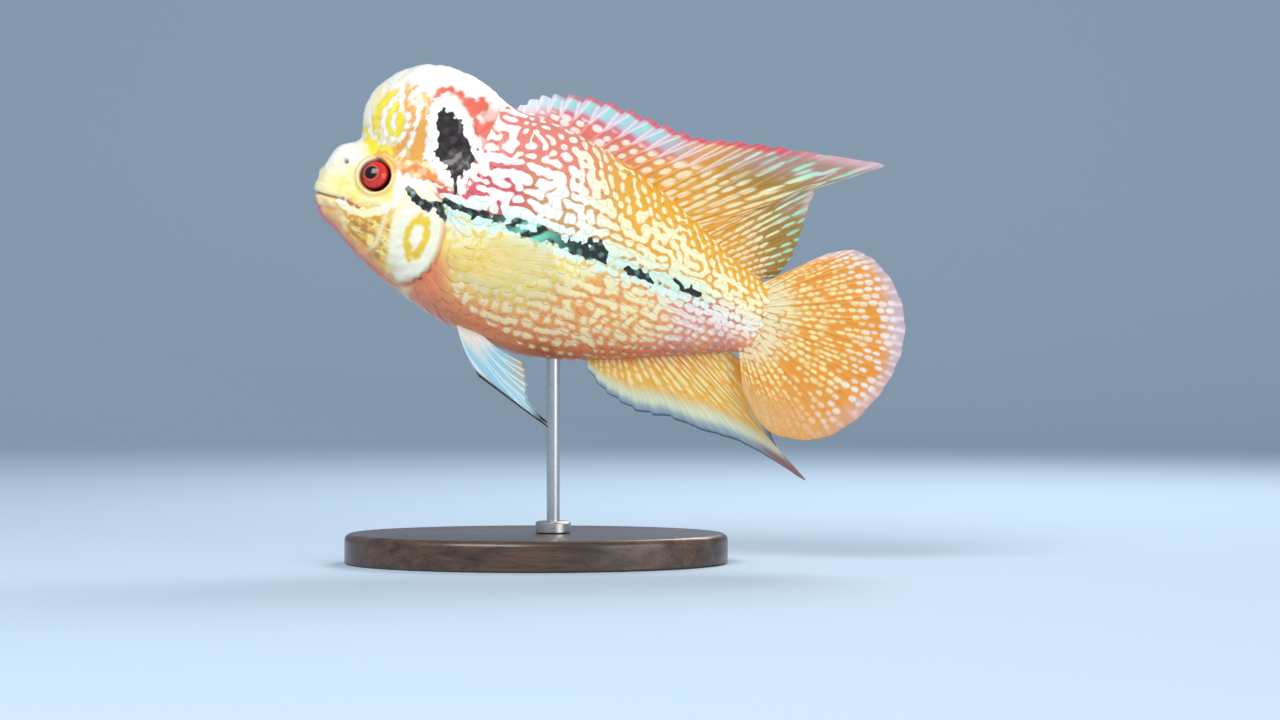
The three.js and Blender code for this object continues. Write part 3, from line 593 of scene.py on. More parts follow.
# The gill cover: a white ring, a yellow ring and a pale middle
ring_at = np.hypot((x - 41.2) / 1.0, (z + 6.6 - 0.1 * (x - 41)) / 1.9) + 0.25 * fine_field
on_cover = smooth(-0.8, 0.6, cover)
yellow_ring = smooth(4.9, 4.1, ring_at) * smooth(1.9, 2.7, ring_at)
cover_colour = mix(mix(SNOW, IVORY, 0.35), mix(LEMON, OCHRE, 0.45), yellow_ring)
cover_colour = mix(cover_colour, IVORY, smooth(7.5, 9.5, ring_at) * 0.5)
colour = mix(colour, cover_colour, on_cover)
# Painted shade: a darker reddish line along the groove behind the gill cover, where the gill slit lies in
# shade
colour = mix(colour, lin(0.85, 0.45, 0.38), np.exp(-(((cover + 1.2) / 0.9) ** 2)) * behind * 0.9)
colour = mix(colour, IVORY, 0.8 * np.exp(-((to_cheek / 1.1) ** 2)) * cheek)
# Mouth corner, nostril, eye rim
colour = mix(colour, lin(0.86, 0.34, 0.3), smooth(1.6, 0.7, fold) * 0.9)
# Painted shade: the mouth line is painted darker along the sunk groove where the lips meet
colour = mix(colour, lin(0.82, 0.5, 0.42), np.exp(-((mouth_line / 0.5) ** 2)) * at_mouth * 0.9)
# Painted shade: the nostril pit is painted dark, as shade inside the opening
colour = mix(colour, lin(0.35, 0.22, 0.2), np.exp(-((to_nostril / 0.8) ** 2)))
# Painted shade: the sunk eye socket round the eyeball is painted dark brown
colour = mix(colour, lin(0.55, 0.22, 0.13), smooth(6.2, 5.5, to_eye))
colour = mix(colour, lin(0.97, 0.78, 0.4), 0.8 * np.exp(-(((to_eye - 7.0) / 0.8) ** 2)))
above_eye = smooth(3.0, 5.0, z - EYE[1]) * smooth(3.5, 0, abs(x - EYE[0]))
dark_brow = np.exp(-(((to_eye - 6.2) / 0.8) ** 2)) * above_eye
colour = mix(colour, lin(0.25, 0.16, 0.14), 0.8 * dark_brow)
# Chin and breast: orange over salmon, with magenta along the lower edge
low = z - belly(x)
underside = smooth(7.5, 3, low + 0.8 * worm_field) * smooth(46, 34, x) * smooth(1, 7, x)
colour = mix(colour, lin(0.95, 0.6, 0.33), 0.8 * underside)
chin = smooth(4.2, 1.2, low + 0.4 * worm_field) * smooth(46, 30, x)
chin = chin * smooth(7.5, 4.5, np.abs(hide[..., 1]))
colour = mix(colour, mix(MAGENTA, CORAL, smooth(10, 32, x)), 0.85 * chin)
half_count = AROUND // 2
# Under the scales the trunk has their ground, pearls and marks
path = hide[:, half_count::-1]
steps = np.linalg.norm(np.diff(path, axis=1), axis=2)
arc_left = np.concatenate([np.zeros((len(hide), 1)), np.cumsum(steps, axis=1)], 1)
arc = np.concatenate([arc_left[:, ::-1], arc_left[:, 1:-1]], 1)
line_at = np.array([np.interp(-lateral_line(p[:, 0].mean()), -p[:, 2], a) for p, a in zip(path, arc_left)])
skin_column = column_of(x)
skin_row = (arc - line_at[:, None]) / PITCH_ACROSS(x)
right_side = (hide[..., 1] > 0).astype(int)
body_pearls = pearl_field(skin_column, skin_row, x, z, right_side)
trunk = smooth(-0.4, -1.6, cover) * smooth(40, 46, x) * smooth(15, 12, z)
trunk = np.maximum(trunk, smooth(54, 56, x + 0.1 * (30 - z)))
trunk = np.maximum(trunk, smooth(44, 50, x + 0.3 * z) * smooth(-16, -20, z))
colour = mix(colour, ground_colour(x, z), trunk)
pale_depth = np.where(trunk > 0.5, body_pearls, pale_depth)
pale_colour = mix(pale_colour, pearl_colour(x, z), trunk)
# The black blotch at the rear of the hump, with its white border, and the
# row of marks along the lateral line
blotch = within(x, z, BLOTCH) + 0.5 * waves(x, z, 3.6, 31) + 0.3 * waves(x, z, 1.9, 32)
WHITE_BORDER = 3.6
border = blotch + WHITE_BORDER
pale_depth = np.maximum(pale_depth, border)
pale_colour = mix(pale_colour, SNOW, smooth(-0.6, 0.2, border))
tail_of_blotch = 0.6 - to_line(x, z, [(48.5, 18.5), (50.4, 12.5)]) - 0.2 * fine_field
lateral, glint = lateral_field(x, z, np.where(trunk > 0.5, body_pearls, -0.3))
dark_depth = np.maximum(np.maximum(blotch, tail_of_blotch), lateral)
grey = lin(0.34, 0.25, 0.26)
dark_colour = mix(INK, grey, smooth(1.0, 2.6, blotch) * 0.7 * smooth(-0.2, 1.5, waves(x, z, 4.5, 33)))
dark_colour = mix(dark_colour, mix(NIGHT, TURQUOISE, glint), smooth(14, 12, z))


def paint(piece, name, colours, depth=None):
    """Stores linear colours, one per vertex, with an alpha: depths of -2 to 2 mm
    as 0 to 1, or the colours' own."""
    if depth is not None:
        colours = np.concatenate([colours, np.clip(0.5 + depth[..., None] / 4, 0, 1)], -1)
    elif colours.shape[-1] == 3:
        colours = np.concatenate([colours, np.ones((*colours.shape[:-1], 1))], -1)
    layer = piece.data.color_attributes.new(name, "FLOAT_COLOR", "POINT")
    layer.data.foreach_set("color", np.clip(colours, 0, 1).astype(np.float32).ravel())


def painted_material(name, roughness, bump, bump_scale, wet, glow=0.08, layers=()):
    """A wet, slightly soft material that shows the piece's markings, and over
    them its layers, each with a crisp edge where its depth passes nought."""
    mat = bpy.data.materials.new(name)
    mat.use_nodes = True
    nodes, links = mat.node_tree.nodes, mat.node_tree.links
    shader = nodes["Principled BSDF"]
    marks = nodes.new("ShaderNodeVertexColor")
    marks.layer_name = "markings"
    shown = marks.outputs["Color"]
    for layer in layers:
        over = nodes.new("ShaderNodeVertexColor")
        over.layer_name = layer
        edge = nodes.new("ShaderNodeMapRange")
        edge.interpolation_type = "SMOOTHSTEP"
        edge.inputs["From Min"].default_value = 0.5 - 0.05
        edge.inputs["From Max"].default_value = 0.5 + 0.06
        blend = nodes.new("ShaderNodeMix")
        blend.data_type = "RGBA"
        links.new(over.outputs["Alpha"], edge.inputs["Value"])
        links.new(edge.outputs["Result"], blend.inputs["Factor"])
        links.new(shown, blend.inputs["A"])
        links.new(over.outputs["Color"], blend.inputs["B"])
        shown = blend.outputs["Result"]
    coords = nodes.new("ShaderNodeTexCoord")
    grain = nodes.new("ShaderNodeTexNoise")
    grain.inputs["Scale"].default_value = bump_scale
    grain.inputs["Detail"].default_value = 4
    links.new(coords.outputs["Object"], grain.inputs["Vector"])
    # Fine blotches of tone, so that no patch is one flat colour
    tone = nodes.new("ShaderNodeHueSaturation")
    tone_map = nodes.new("ShaderNodeMapRange")
    tone_map.inputs["To Min"].default_value = 0.88
    tone_map.inputs["To Max"].default_value = 1.06
    links.new(grain.outputs["Fac"], tone_map.inputs["Value"])
    links.new(tone_map.outputs["Result"], tone.inputs["Value"])
    links.new(shown, tone.inputs["Color"])
    links.new(tone.outputs["Color"], shader.inputs["Base Color"])
    shine = nodes.new("ShaderNodeMapRange")
    shine.inputs["To Min"].default_value = roughness - 0.08
    shine.inputs["To Max"].default_value = roughness + 0.12
    links.new(grain.outputs["Fac"], shine.inputs["Value"])
    links.new(shine.outputs["Result"], shader.inputs["Roughness"])
    relief_node = nodes.new("ShaderNodeBump")
    relief_node.inputs["Strength"].default_value = bump
    relief_node.inputs["Distance"].default_value = 0.0003
    links.new(grain.outputs["Fac"], relief_node.inputs["Height"])
    links.new(relief_node.outputs["Normal"], shader.inputs["Normal"])
    shader.inputs["Coat Weight"].default_value = wet
    shader.inputs["Coat Roughness"].default_value = 0.12
    shader.inputs["Subsurface Weight"].default_value = glow
    shader.inputs["Subsurface Scale"].default_value = 0.002
    return mat


def face_out(piece):
    """Turns the faces of a closed piece outwards."""
    shape = bmesh.new()
    shape.from_mesh(piece.data)
    bmesh.ops.recalc_face_normals(shape, faces=shape.faces)
    shape.to_mesh(piece.data)
    shape.free()


def with_poles(values):
    """A value for each of the skin's grid points, then for its two ends."""
    flat = values.reshape(values.shape[0] * values.shape[1], -1)
    snout_end, stalk_end = [values[end].mean(0).reshape(1, -1) for end in (0, -1)]
    return np.concatenate([flat, snout_end, stalk_end])


rings = len(starts)
poles = np.stack([hide_swung[0].mean(0), hide_swung[-1].mean(0)])
skin_points = posed(np.concatenate([hide_swung.reshape(-1, 3), poles]))
index = np.arange(rings * AROUND).reshape(rings, AROUND)
after = np.roll(index, -1, axis=1)
quads = np.stack([index[:-1], index[1:], after[1:], after[:-1]], -1).reshape(-1, 4)
snout_fan = [(rings * AROUND, a, b) for a, b in zip(index[0], after[0])]
stalk_fan = [(rings * AROUND + 1, b, a) for a, b in zip(index[-1], after[-1])]
skin_material = painted_material(
    "wet_skin", roughness=0.34, bump=0.35, bump_scale=900, wet=0.35, layers=("pale", "dark")
)
skin = mesh_piece("skin", skin_points, [*quads.tolist(), *snout_fan, *stalk_fan], skin_material)
paint(skin, "markings", with_poles(colour))
paint(skin, "pale", with_poles(pale_colour), with_poles(pale_depth)[:, 0])
paint(skin, "dark", with_poles(dark_colour), with_poles(dark_depth)[:, 0])
face_out(skin)
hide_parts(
    "head", "lower_jaw", "nuchal_hump", "gill_cover_left", "gill_cover_right", "trunk", "tail_stalk"
)
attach(skin, "root")

# The scales: thin horny plates that overlap like tiles from the gill cover to
# the tail, rooted in the skin in slanting rows. The pale pearls and the dark
# marks run over them as they do over the skin below.
trunk_rows = np.arange(len(HEAD_TURN), len(HEAD_TURN) + len(TRUNK_X))
section, section_normal = hide[trunk_rows], normal[trunk_rows]
ARC_STEP = 0.25
ARC = np.arange(0, 130, ARC_STEP)
place_of_arc = np.array([np.interp(ARC, a, np.arange(half_count, -1, -1)) for a in arc_left[trunk_rows]])
girth = arc_left[trunk_rows, -1]
line_arc = line_at[trunk_rows]


def sample(x_at, arc_at):
    """The left flank's points and normals, by distance from the snout and down
    from the midline of the back. Past the midline they carry on mirrored."""
    i = np.clip(np.interp(x_at, TRUNK_X, np.arange(len(TRUNK_X))), 0, len(TRUNK_X) - 1.001)
    i0 = i.astype(int)
    fi = (i - i0)[..., None]
    k = np.clip(np.abs(arc_at) / ARC_STEP, 0, len(ARC) - 1.001)
    k0 = k.astype(int)
    found = []
    for row in (i0, i0 + 1):
        j = place_of_arc[row, k0] * (1 - (k - k0)) + place_of_arc[row, k0 + 1] * (k - k0)
        j0 = np.floor(j).astype(int)
        fj = (j - j0)[..., None]
        found.append([g[row, j0] * (1 - fj) + g[row, j0 + 1] * fj for g in (section, section_normal)])
    p = found[0][0] * (1 - fi) + found[1][0] * fi
    n = found[0][1] * (1 - fi) + found[1][1] * fi
    flip = np.stack([np.ones_like(arc_at), np.where(arc_at < 0, -1, 1), np.ones_like(arc_at)], -1)
    return p * flip, n * flip / np.linalg.norm(n, axis=-1, keepdims=True)


# The coat's front edge as (z, x), from the throat up behind the gill cover to
# the nape
COAT_FRONT = [
    (-40, 45), (-24, 47.5), (-19.6, 51), (-9, 54.6), (3.4, 53.4), (8.6, 51), (12, 52), (18, 56.5), (30, 59),
    (50, 62),
]
draw = np.random.default_rng(7)
roots = []
for column in range(int(column_of(40)), int(column_of(169))):
    for row in range(-20, 21):
        at_x = float(x_of(column + 0.5 * (row % 2)))
        at_arc = np.interp(at_x, TRUNK_X, line_arc) + row * float(PITCH_ACROSS(at_x))
        if at_x > 167.2 or not 0.3 < at_arc < np.interp(at_x, TRUNK_X, girth) - 0.3:
            continue
        p, _ = sample(np.array([at_x]), np.array([at_arc]))
        if at_x > np.interp(p[0, 2], *np.array(COAT_FRONT).T):
            roots.append((at_x, at_arc))
roots = np.array(roots)
count = len(roots)
# Along and across one plate: close rows of points in the part that shows
alpha = np.array([0, 0.25, 0.42, 0.48, 0.54, 0.6, 0.66, 0.72, 0.78, 0.84, 0.9, 0.95, 1.0])
beta = np.linspace(-1, 1, 11)
A, B = len(alpha), len(beta)
rear_round = np.clip(1 - (np.clip(alpha - 0.45, 0, 1) / 0.555) ** 2.4, 0.03, 1) ** 0.5
half_width = np.where(alpha < 0.45, 0.82 + 0.18 * smooth(0, 0.45, alpha), rear_round)
al, be = np.meshgrid(alpha, beta, indexing="ij")
be_wide = be * half_width[:, None]
border = [(0, j) for j in range(B)] + [(i, B - 1) for i in range(1, A)]
border += [(A - 1, j) for j in range(B - 2, -1, -1)] + [(i, 0) for i in range(A - 2, 0, -1)]
bi, bj = np.array(border).T
per = A * B + len(border)
grid = np.arange(A * B).reshape(A, B)
plate = np.stack([grid[:-1, :-1], grid[1:, :-1], grid[1:, 1:], grid[:-1, 1:]], -1).reshape(-1, 4)
# A rim runs from each plate's edge down into the skin. The underside is open.
rim_low = A * B + np.arange(len(border))
wall = np.stack([grid[bi, bj], np.roll(grid[bi, bj], -1), np.roll(rim_low, -1), rim_low], -1)
one_scale = np.concatenate([plate, wall])
scale_material = painted_material(
    "scale", roughness=0.3, bump=0.12, bump_scale=1500, wet=0.45, glow=0.05, layers=("pale", "dark")
)
# A scale's length and half width in pitches, how high its free edge stands,
# how far its rim reaches down and how proud its pearls are, in mm
SCALE_LONG, SCALE_HALF_WIDE = 2.0, 0.7
SCALE_LIFT, RIM_DOWN, PEARL_PROUD = 0.2, 0.2, 0.07
BAKE_PATCH = 0.003
for side, side_name in ((0, "left"), (1, "right")):
    jitter = draw.normal(0, 1, (count, 4))[:, :, None, None]
    root_x, root_arc = roots[:, 0, None, None], roots[:, 1, None, None]
    long = SCALE_LONG * PITCH_ALONG(root_x) * (1 + 0.02 * jitter[:, 0])
    wide = SCALE_HALF_WIDE * PITCH_ACROSS(root_x) * (1 + 0.02 * jitter[:, 1])
    place_x = root_x + (al - 0.5) * long
    place_arc = root_arc + be_wide * wide + 0.08 * jitter[:, 2] * (al - 0.5)
    p, n = sample(place_x, place_arc)
    # Past the end of the stalk they lie down on the foot of the tail fin
    past = np.maximum(0, place_x - TRUNK_X[-1])
    thinner, lower = 1 - 0.5 * smooth(0, 6, past), 1 - 0.1 * smooth(0, 6, past)
    p = np.stack([p[..., 0] + past, p[..., 1] * thinner, p[..., 2] * lower], -1)
    sx, sz = p[..., 0], p[..., 2]
    row = (np.abs(place_arc) - np.interp(place_x, TRUNK_X, line_arc)) / PITCH_ACROSS(place_x)
    pearls = pearl_field(column_of(place_x), row, sx, sz, side)
    lateral, glint = lateral_field(sx, sz, pearls)
    rise = 0.02 + SCALE_LIFT * al**1.5 * (1 + 0.04 * jitter[:, 3])
    rise = rise + 0.07 * (1 - be**2) * smooth(0.3, 0.6, al)
    rise = rise + PEARL_PROUD * smooth(-0.3, 0.5, pearls)
    top, skirt = p + n * rise[..., None], (p - RIM_DOWN * n)[:, bi, bj]
    points = np.concatenate([top.reshape(count, -1, 3), skirt], 1).reshape(-1, 3)
    if side:
        points[:, 1] *= -1
    points[:, 1] += sway(points[:, 0])
    edge_shade = (1 - 0.05 * smooth(0.92, 1.0, al))[..., None] * (1 + 0.012 * jitter[:, 3, :, :, None])
    faces = (one_scale[None] + (np.arange(count) * per)[:, None, None]).reshape(-1, 4)
    if not side:
        faces = faces[:, ::-1]
    coat = mesh_piece("scales_" + side_name, posed(points), faces, scale_material)

    def each_vertex(values):
        flat = values.reshape(count, A * B, -1)
        at_rim = values[:, bi, bj].reshape(count, len(border), -1)
        return np.concatenate([flat, at_rim], 1).reshape(count * per, -1)

    paint(coat, "markings", each_vertex(ground_colour(sx, sz) * edge_shade))
    paint(coat, "pale", each_vertex(pearl_colour(sx, sz) * edge_shade), each_vertex(pearls)[:, 0])
    paint(coat, "dark", each_vertex(mix(NIGHT, TURQUOISE, glint)), each_vertex(lateral)[:, 0])
    # Each scale's patch of the OFBake map, at its root's place on the unrolled skin
    root_uv = np.stack([roots[:, 0] / 230 + 0.02, 0.5 + (1 if side else -1) * roots[:, 1] / 260], -1)
    patch = BAKE_PATCH * (np.stack([al, (be + 1) / 2], -1) - 0.5)
    uv = root_uv[:, None] + np.concatenate([patch.reshape(-1, 2), patch[bi, bj]])[None]
    uv_layer = coat.data.uv_layers.new(name="OFBake")
    corner = np.empty(len(coat.data.loops), dtype=np.int32)
    coat.data.loops.foreach_get("vertex_index", corner)
    uv_layer.data.foreach_set("uv", uv.reshape(-1, 2)[corner].astype(np.float32).ravel())
    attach(coat, "root")


# The fins: a clear web stretched over bony rays, each ray a ridge that splits
# towards the edge. Small bones inside the body carry the real ones, and here
# each starts under the skin and rises from it.


def spline(*points):
    """The curve through points that the solids use, by its share from 0 to 1."""
    pts = np.array(points, float)

    def at(f):
        f = np.asarray(f, float)
        t = np.clip(f, 0, 1) * (len(pts) - 1)
        i = np.minimum(t.astype(int), len(pts) - 2)
        w = (t - i)[..., None]
        p0, p1 = pts[np.maximum(i - 1, 0)], pts[i]
        p2, p3 = pts[i + 1], pts[np.minimum(i + 2, len(pts) - 1)]
        v0, v1 = (p2 - p0) / 2, (p3 - p1) / 2
        return (2 * p1 - 2 * p2 + v0 + v1) * w**3 + (-3 * p1 + 3 * p2 - 2 * v0 - v1) * w**2 + v0 * w + p1

    return at


def fin_piece(
    name, root, edge, rays, rows, side, thick, thin, ridge, notch, colours, replaced,
    bow=0.0, mirror=1, per_ray=12,
):
    """A web between the curves root and edge, with rays from one to the other.
    side gives its middle's place across the fish, thick and thin its thickness
    at root and edge, ridge the rays' height and notch the cuts between them."""
    cells = rays - 1
    f = np.linspace(0, 1, cells * per_ray + 1)[:, None] + np.zeros((1, rows + 1))
    s = np.zeros_like(f) + np.linspace(0, 1, rows + 1) ** 0.9
    share = f * cells
    cell = np.minimum(share.astype(int), cells - 1)
    frac = share - cell
    from_ray = np.minimum(frac, 1 - frac)
    split = 0.24 * smooth(0.3, 1.0, s)
    main = np.exp(-((from_ray / 0.1) ** 2))
    branch = np.exp(-(((from_ray - split) / 0.075) ** 2))
    soft = np.asarray(smooth(0.35, 0.6, s))
    lift = main * (1 - soft) + branch * soft
    short = notch(f) * np.where(frac > 0, np.clip(frac / 0.9, 0, 1) ** 1.3 * smooth(1.0, 0.93, frac), 0)
    a, b = root(f), edge(f)
    span = b - a
    long = np.linalg.norm(span, axis=-1)
    across = np.stack([-span[..., 1], span[..., 0]], -1) / long[..., None]
    reach = s * (1 - short / long)
    xz = a + span * reach[..., None] + across * (bow * long * np.sin(np.pi * s))[..., None]
    half = (thick + (thin - thick) * np.sqrt(s)) / 2 + ridge * lift * (1 - 0.85 * s * s)
    wave = 0.12 * np.sin(2 * np.pi * (share * 0.37)) * s
    mid = side(xz[..., 0], xz[..., 1], f, s) + wave
    faces_at = [np.stack([xz[..., 0], mid + q * half, xz[..., 1]], -1) for q in (-1, 1)]
    points = np.concatenate([q.reshape(-1, 3) for q in faces_at])
    points[:, 1] *= mirror
    nf, ns = f.shape
    grid = np.arange(nf * ns).reshape(nf, ns)
    near_q = np.stack([grid[:-1, :-1], grid[1:, :-1], grid[1:, 1:], grid[:-1, 1:]], -1).reshape(-1, 4)
    n_pts = nf * ns
    loop = np.concatenate([grid[:, 0], grid[-1, 1:], grid[-2::-1, -1], grid[0, -2:0:-1]])
    nxt = np.roll(loop, -1)
    rim = np.stack([loop, loop + n_pts, nxt + n_pts, nxt], -1)
    faces = np.concatenate([near_q, near_q[:, ::-1] + n_pts, rim])
    piece = mesh_piece(name, posed(points), faces, web)
    tint = colours(f, s, frac, cell, lift, xz)
    paint(piece, "markings", np.concatenate([tint.reshape(-1, tint.shape[-1])] * 2))
    face_out(piece)
    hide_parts(replaced)
    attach(piece, "root")


def fin_material(name, thin_share):
    """Web and rays: lets some light through, and shows the markings."""
    mat = painted_material(name, roughness=0.42, bump=0.25, bump_scale=1200, wet=0.2, glow=0.0)
    nodes, links = mat.node_tree.nodes, mat.node_tree.links
    shader = nodes["Principled BSDF"]
    marks = next(n for n in nodes if n.type == "VERTEX_COLOR")
    links.new(marks.outputs["Alpha"], shader.inputs["Alpha"])
    through_web = nodes.new("ShaderNodeBsdfTranslucent")
    links.new(marks.outputs["Color"], through_web.inputs["Color"])
    both = nodes.new("ShaderNodeMixShader")
    both.inputs["Fac"].default_value = thin_share
    links.new(shader.outputs["BSDF"], both.inputs[1])
    links.new(through_web.outputs["BSDF"], both.inputs[2])
    links.new(both.outputs["Shader"], nodes["Material Output"].inputs["Surface"])
    return mat


web = fin_material("fin_web", 0.25)


def spots(across, s, rows_of, seed, length=0.3, broad=0.3, keep=0.8):
    """Dashes along the rays: across counts the columns of dashes, and rows_of
    is how many there would be from root to edge. Above zero in a dash."""
    rng = np.random.default_rng(seed)
    picks, shift, size, lean = rng.uniform(0, 1, (4, TABLE, TABLE))
    column = np.floor(across).astype(int) % TABLE
    along = s * rows_of + 0.5 * (column % 2)
    row = np.floor(along).astype(int) % TABLE
    place = along - np.floor(along) - 0.5 + 0.3 * (shift[column, row] - 0.5)
    aside = across - np.floor(across) - 0.5 + 0.25 * (lean[column, row] - 0.5)
    grown = 0.75 + 0.5 * size[column, row]
    inside = 1 - np.sqrt((place / (length * grown)) ** 2 + (aside / (broad * grown)) ** 2)
    return smooth(-0.12, 0.22, inside) * (picks[column, row] < keep)


def web_pearls(x, z, offset=0.0):
    """The body's own pearls carried on over the foot of a fin."""
    row = (lateral_line(x) - z) / PITCH_ACROSS(x) + offset
    below_line = lateral_line(x) + 0 * z - 2
    return smooth(-0.15, 0.2, pearl_field(column_of(x), row, x, below_line, np.zeros(np.shape(x), int)))


# The dorsal fin: 17 hard white spines with blue-grey webs and a crimson edge,
# then 12 soft rays in a gold web that trails into a long pink point. It runs
# along the midline of the back from the nape to the stalk.
DORSAL_RAYS = 29
SPINES = 17 / DORSAL_RAYS


def dorsal_root(f):
    at = np.where(f < SPINES, 61 + f / SPINES * 68, 129 + (f - SPINES) / (1 - SPINES) * 31)
    return np.stack([at, back(at) - 3], -1)


def dorsal_colours(f, s, frac, cell, lift, xz):
    at = cell + frac
    spine = smooth(16.5, 11.5, at + 4 * s)
    ground = mix(PINK, GOLD, smooth(7, 14, at))
    ochre = mix(GOLD, lin(0.7, 0.53, 0.2), smooth(0.12, 0.6, s))
    tint = mix(ground, ochre, smooth(12, 17, at))
    # Pink, then blue-grey webs with a mint streak between white spines
    tint = mix(tint, lin(0.9, 0.45, 0.52), spine * smooth(0.42, 0.5, s) * smooth(1, 4, at) * 0.85)
    mint_streak = smooth(0.27, 0.1, np.abs(frac - 0.3 - 0.45 * (s - 0.6)))
    mint_streak = mint_streak * smooth(0.62, 0.7, s + 0.05 * np.sin(2.4 * cell))
    blue = mix(lin(0.76, 0.82, 0.87), lin(0.64, 0.93, 0.9), 0.85 * mint_streak)
    tint = mix(tint, blue, spine * smooth(0.55, 0.66, s))
    tint = mix(tint, lin(0.93, 0.95, 0.98), smooth(4.5, 1, at) * smooth(0.2, 0.5, s) * 0.85)
    # The upper part of the soft web: greyish rose with pale streaks
    rose_top = smooth(12, 16, at) * smooth(24.5, 19.5, at) * smooth(0.55, 0.8, s)
    tint = mix(tint, lin(0.74, 0.6, 0.58), 0.85 * rose_top)
    soft = smooth(13, 15, at)
    low = spots(at, s, 5.5, 42, 0.4, 0.33, 0.95) * (1 - soft)
    low = low + spots(1.5 * at, s, 9, 45, 0.5, 0.28, 0.92) * soft
    low = low * smooth(0.58, 0.46, s)
    tint = mix(tint, mix(WHITE, CREAM, smooth(6, 14, cell)), low)
    dashes = spots(1.5 * at, s, 5, 43, 0.5, 0.2, 0.92) * smooth(14, 17.5, at) * smooth(0.42, 0.5, s)
    pale = mix(lin(0.98, 0.98, 0.8), lin(0.62, 0.98, 0.86), smooth(0.5, 0.9, s))
    tint = mix(tint, pale, dashes)
    streaks = spots(2 * at, s, 6, 44, 0.46, 0.22, 0.7) * rose_top
    tint = mix(tint, lin(0.84, 0.95, 0.93), streaks)
    tint = mix(tint, lin(1.0, 0.95, 0.96), smooth(17, 13, at) * lift * smooth(0.38, 0.5, s) * 0.9)
    tint = mix(tint, lin(0.8, 0.62, 0.3), smooth(14, 17, at) * lift * 0.3)
    crimson = 0.85 * smooth(0.89, 0.95, s) * smooth(2.5, 5, at) * smooth(19, 15, at)
    tint = mix(tint, lin(0.92, 0.32, 0.42), crimson)
    tip = smooth(0.86, 0.98, s) * smooth(15, 18, at) * smooth(25, 21, at)
    tint = mix(tint, lin(0.93, 0.8, 0.82), 0.8 * tip)
    clear = 1 - 0.25 * smooth(0.8, 1, s) * (1 - lift)
    return np.concatenate([tint, clear[..., None]], -1)


fin_piece(
    "dorsal_fin_web",
    dorsal_root,
    spline(
        (62.5, 50.6), (68.5, 55.9), (77, 59), (90, 61), (105, 59.8), (118, 58.2), (130, 57.4), (143, 59.8),
        (157, 62), (174, 63.8), (197, 66), (177.5, 57), (174.6, 47), (174.2, 36), (173.4, 25), (170, 15.8),
    ),
    rays=DORSAL_RAYS, rows=64, per_ray=14,
    side=lambda x, z, f, s: sway(dorsal_root(f)[..., 0]) + s * (3.6 * f * f + 1.1 * np.sin(7 * f) * s),
    thick=2.6, thin=0.45, ridge=0.42, notch=lambda f: np.where(f < SPINES, 1.7, 0.6),
    colours=dorsal_colours, replaced="dorsal_fin",
)


# The anal fin: short spines, then soft rays in an orange web that fades to pale
# blue and a dark edge. It stands on the midline of the belly behind the vent,
# and its trailing point swings a little to the right.
def anal_root(f):
    at = 111 + f * 46
    return np.stack([at, belly(at) + 3], -1)


def anal_colours(f, s, frac, cell, lift, xz):
    at = cell + frac
    tint = mix(lin(0.95, 0.6, 0.28), lin(0.97, 0.76, 0.32), smooth(0.1, 0.45, s + 0.2 * f))
    tint = mix(tint, lin(0.9, 0.92, 0.8), smooth(0.45, 0.72, s - 0.1 * f))
    tint = mix(tint, lin(0.62, 0.7, 0.76), smooth(0.78, 0.93, s))
    tint = mix(tint, lin(0.3, 0.36, 0.46), smooth(0.94, 0.995, s))
    pale = spots(1.5 * at, s, 7, 51, 0.5, 0.28, 0.92) * smooth(0.62, 0.48, s)
    tint = mix(tint, lin(1.0, 0.94, 0.7), pale)
    trail = smooth(0.6, 0.68, f) * smooth(0.86, 0.76, f) * smooth(0.75, 0.92, s)
    tint = mix(tint, lin(0.6, 0.42, 0.42), trail)
    rear = smooth(0.82, 0.97, f) * smooth(0.3, 0.7, s)
    tint = mix(tint, lin(0.9, 0.62, 0.3), 0.7 * rear)
    clear = 1 - 0.3 * smooth(0.6, 1, s) * (1 - lift)
    return np.concatenate([tint, clear[..., None]], -1)


fin_piece(
    "anal_fin_web",
    anal_root,
    spline(
        (113, -35.8), (119.5, -40.6), (127, -43.6), (136, -45.4), (147, -44.4), (160, -45.4), (173, -45.6),
        (186, -48.4), (201, -52.6), (188, -44.4), (181, -34), (174.5, -20.5),
    ),
    rays=17, rows=56,
    side=lambda x, z, f, s: sway(anal_root(f)[..., 0]) + s * (9.5 * f * f + 0.8 * np.sin(8 * f) * s),
    thick=2.4, thin=0.45, ridge=0.38, notch=lambda f: np.where(f < 0.42, 1.1, 0.5),
    colours=anal_colours, replaced="anal_fin",
)


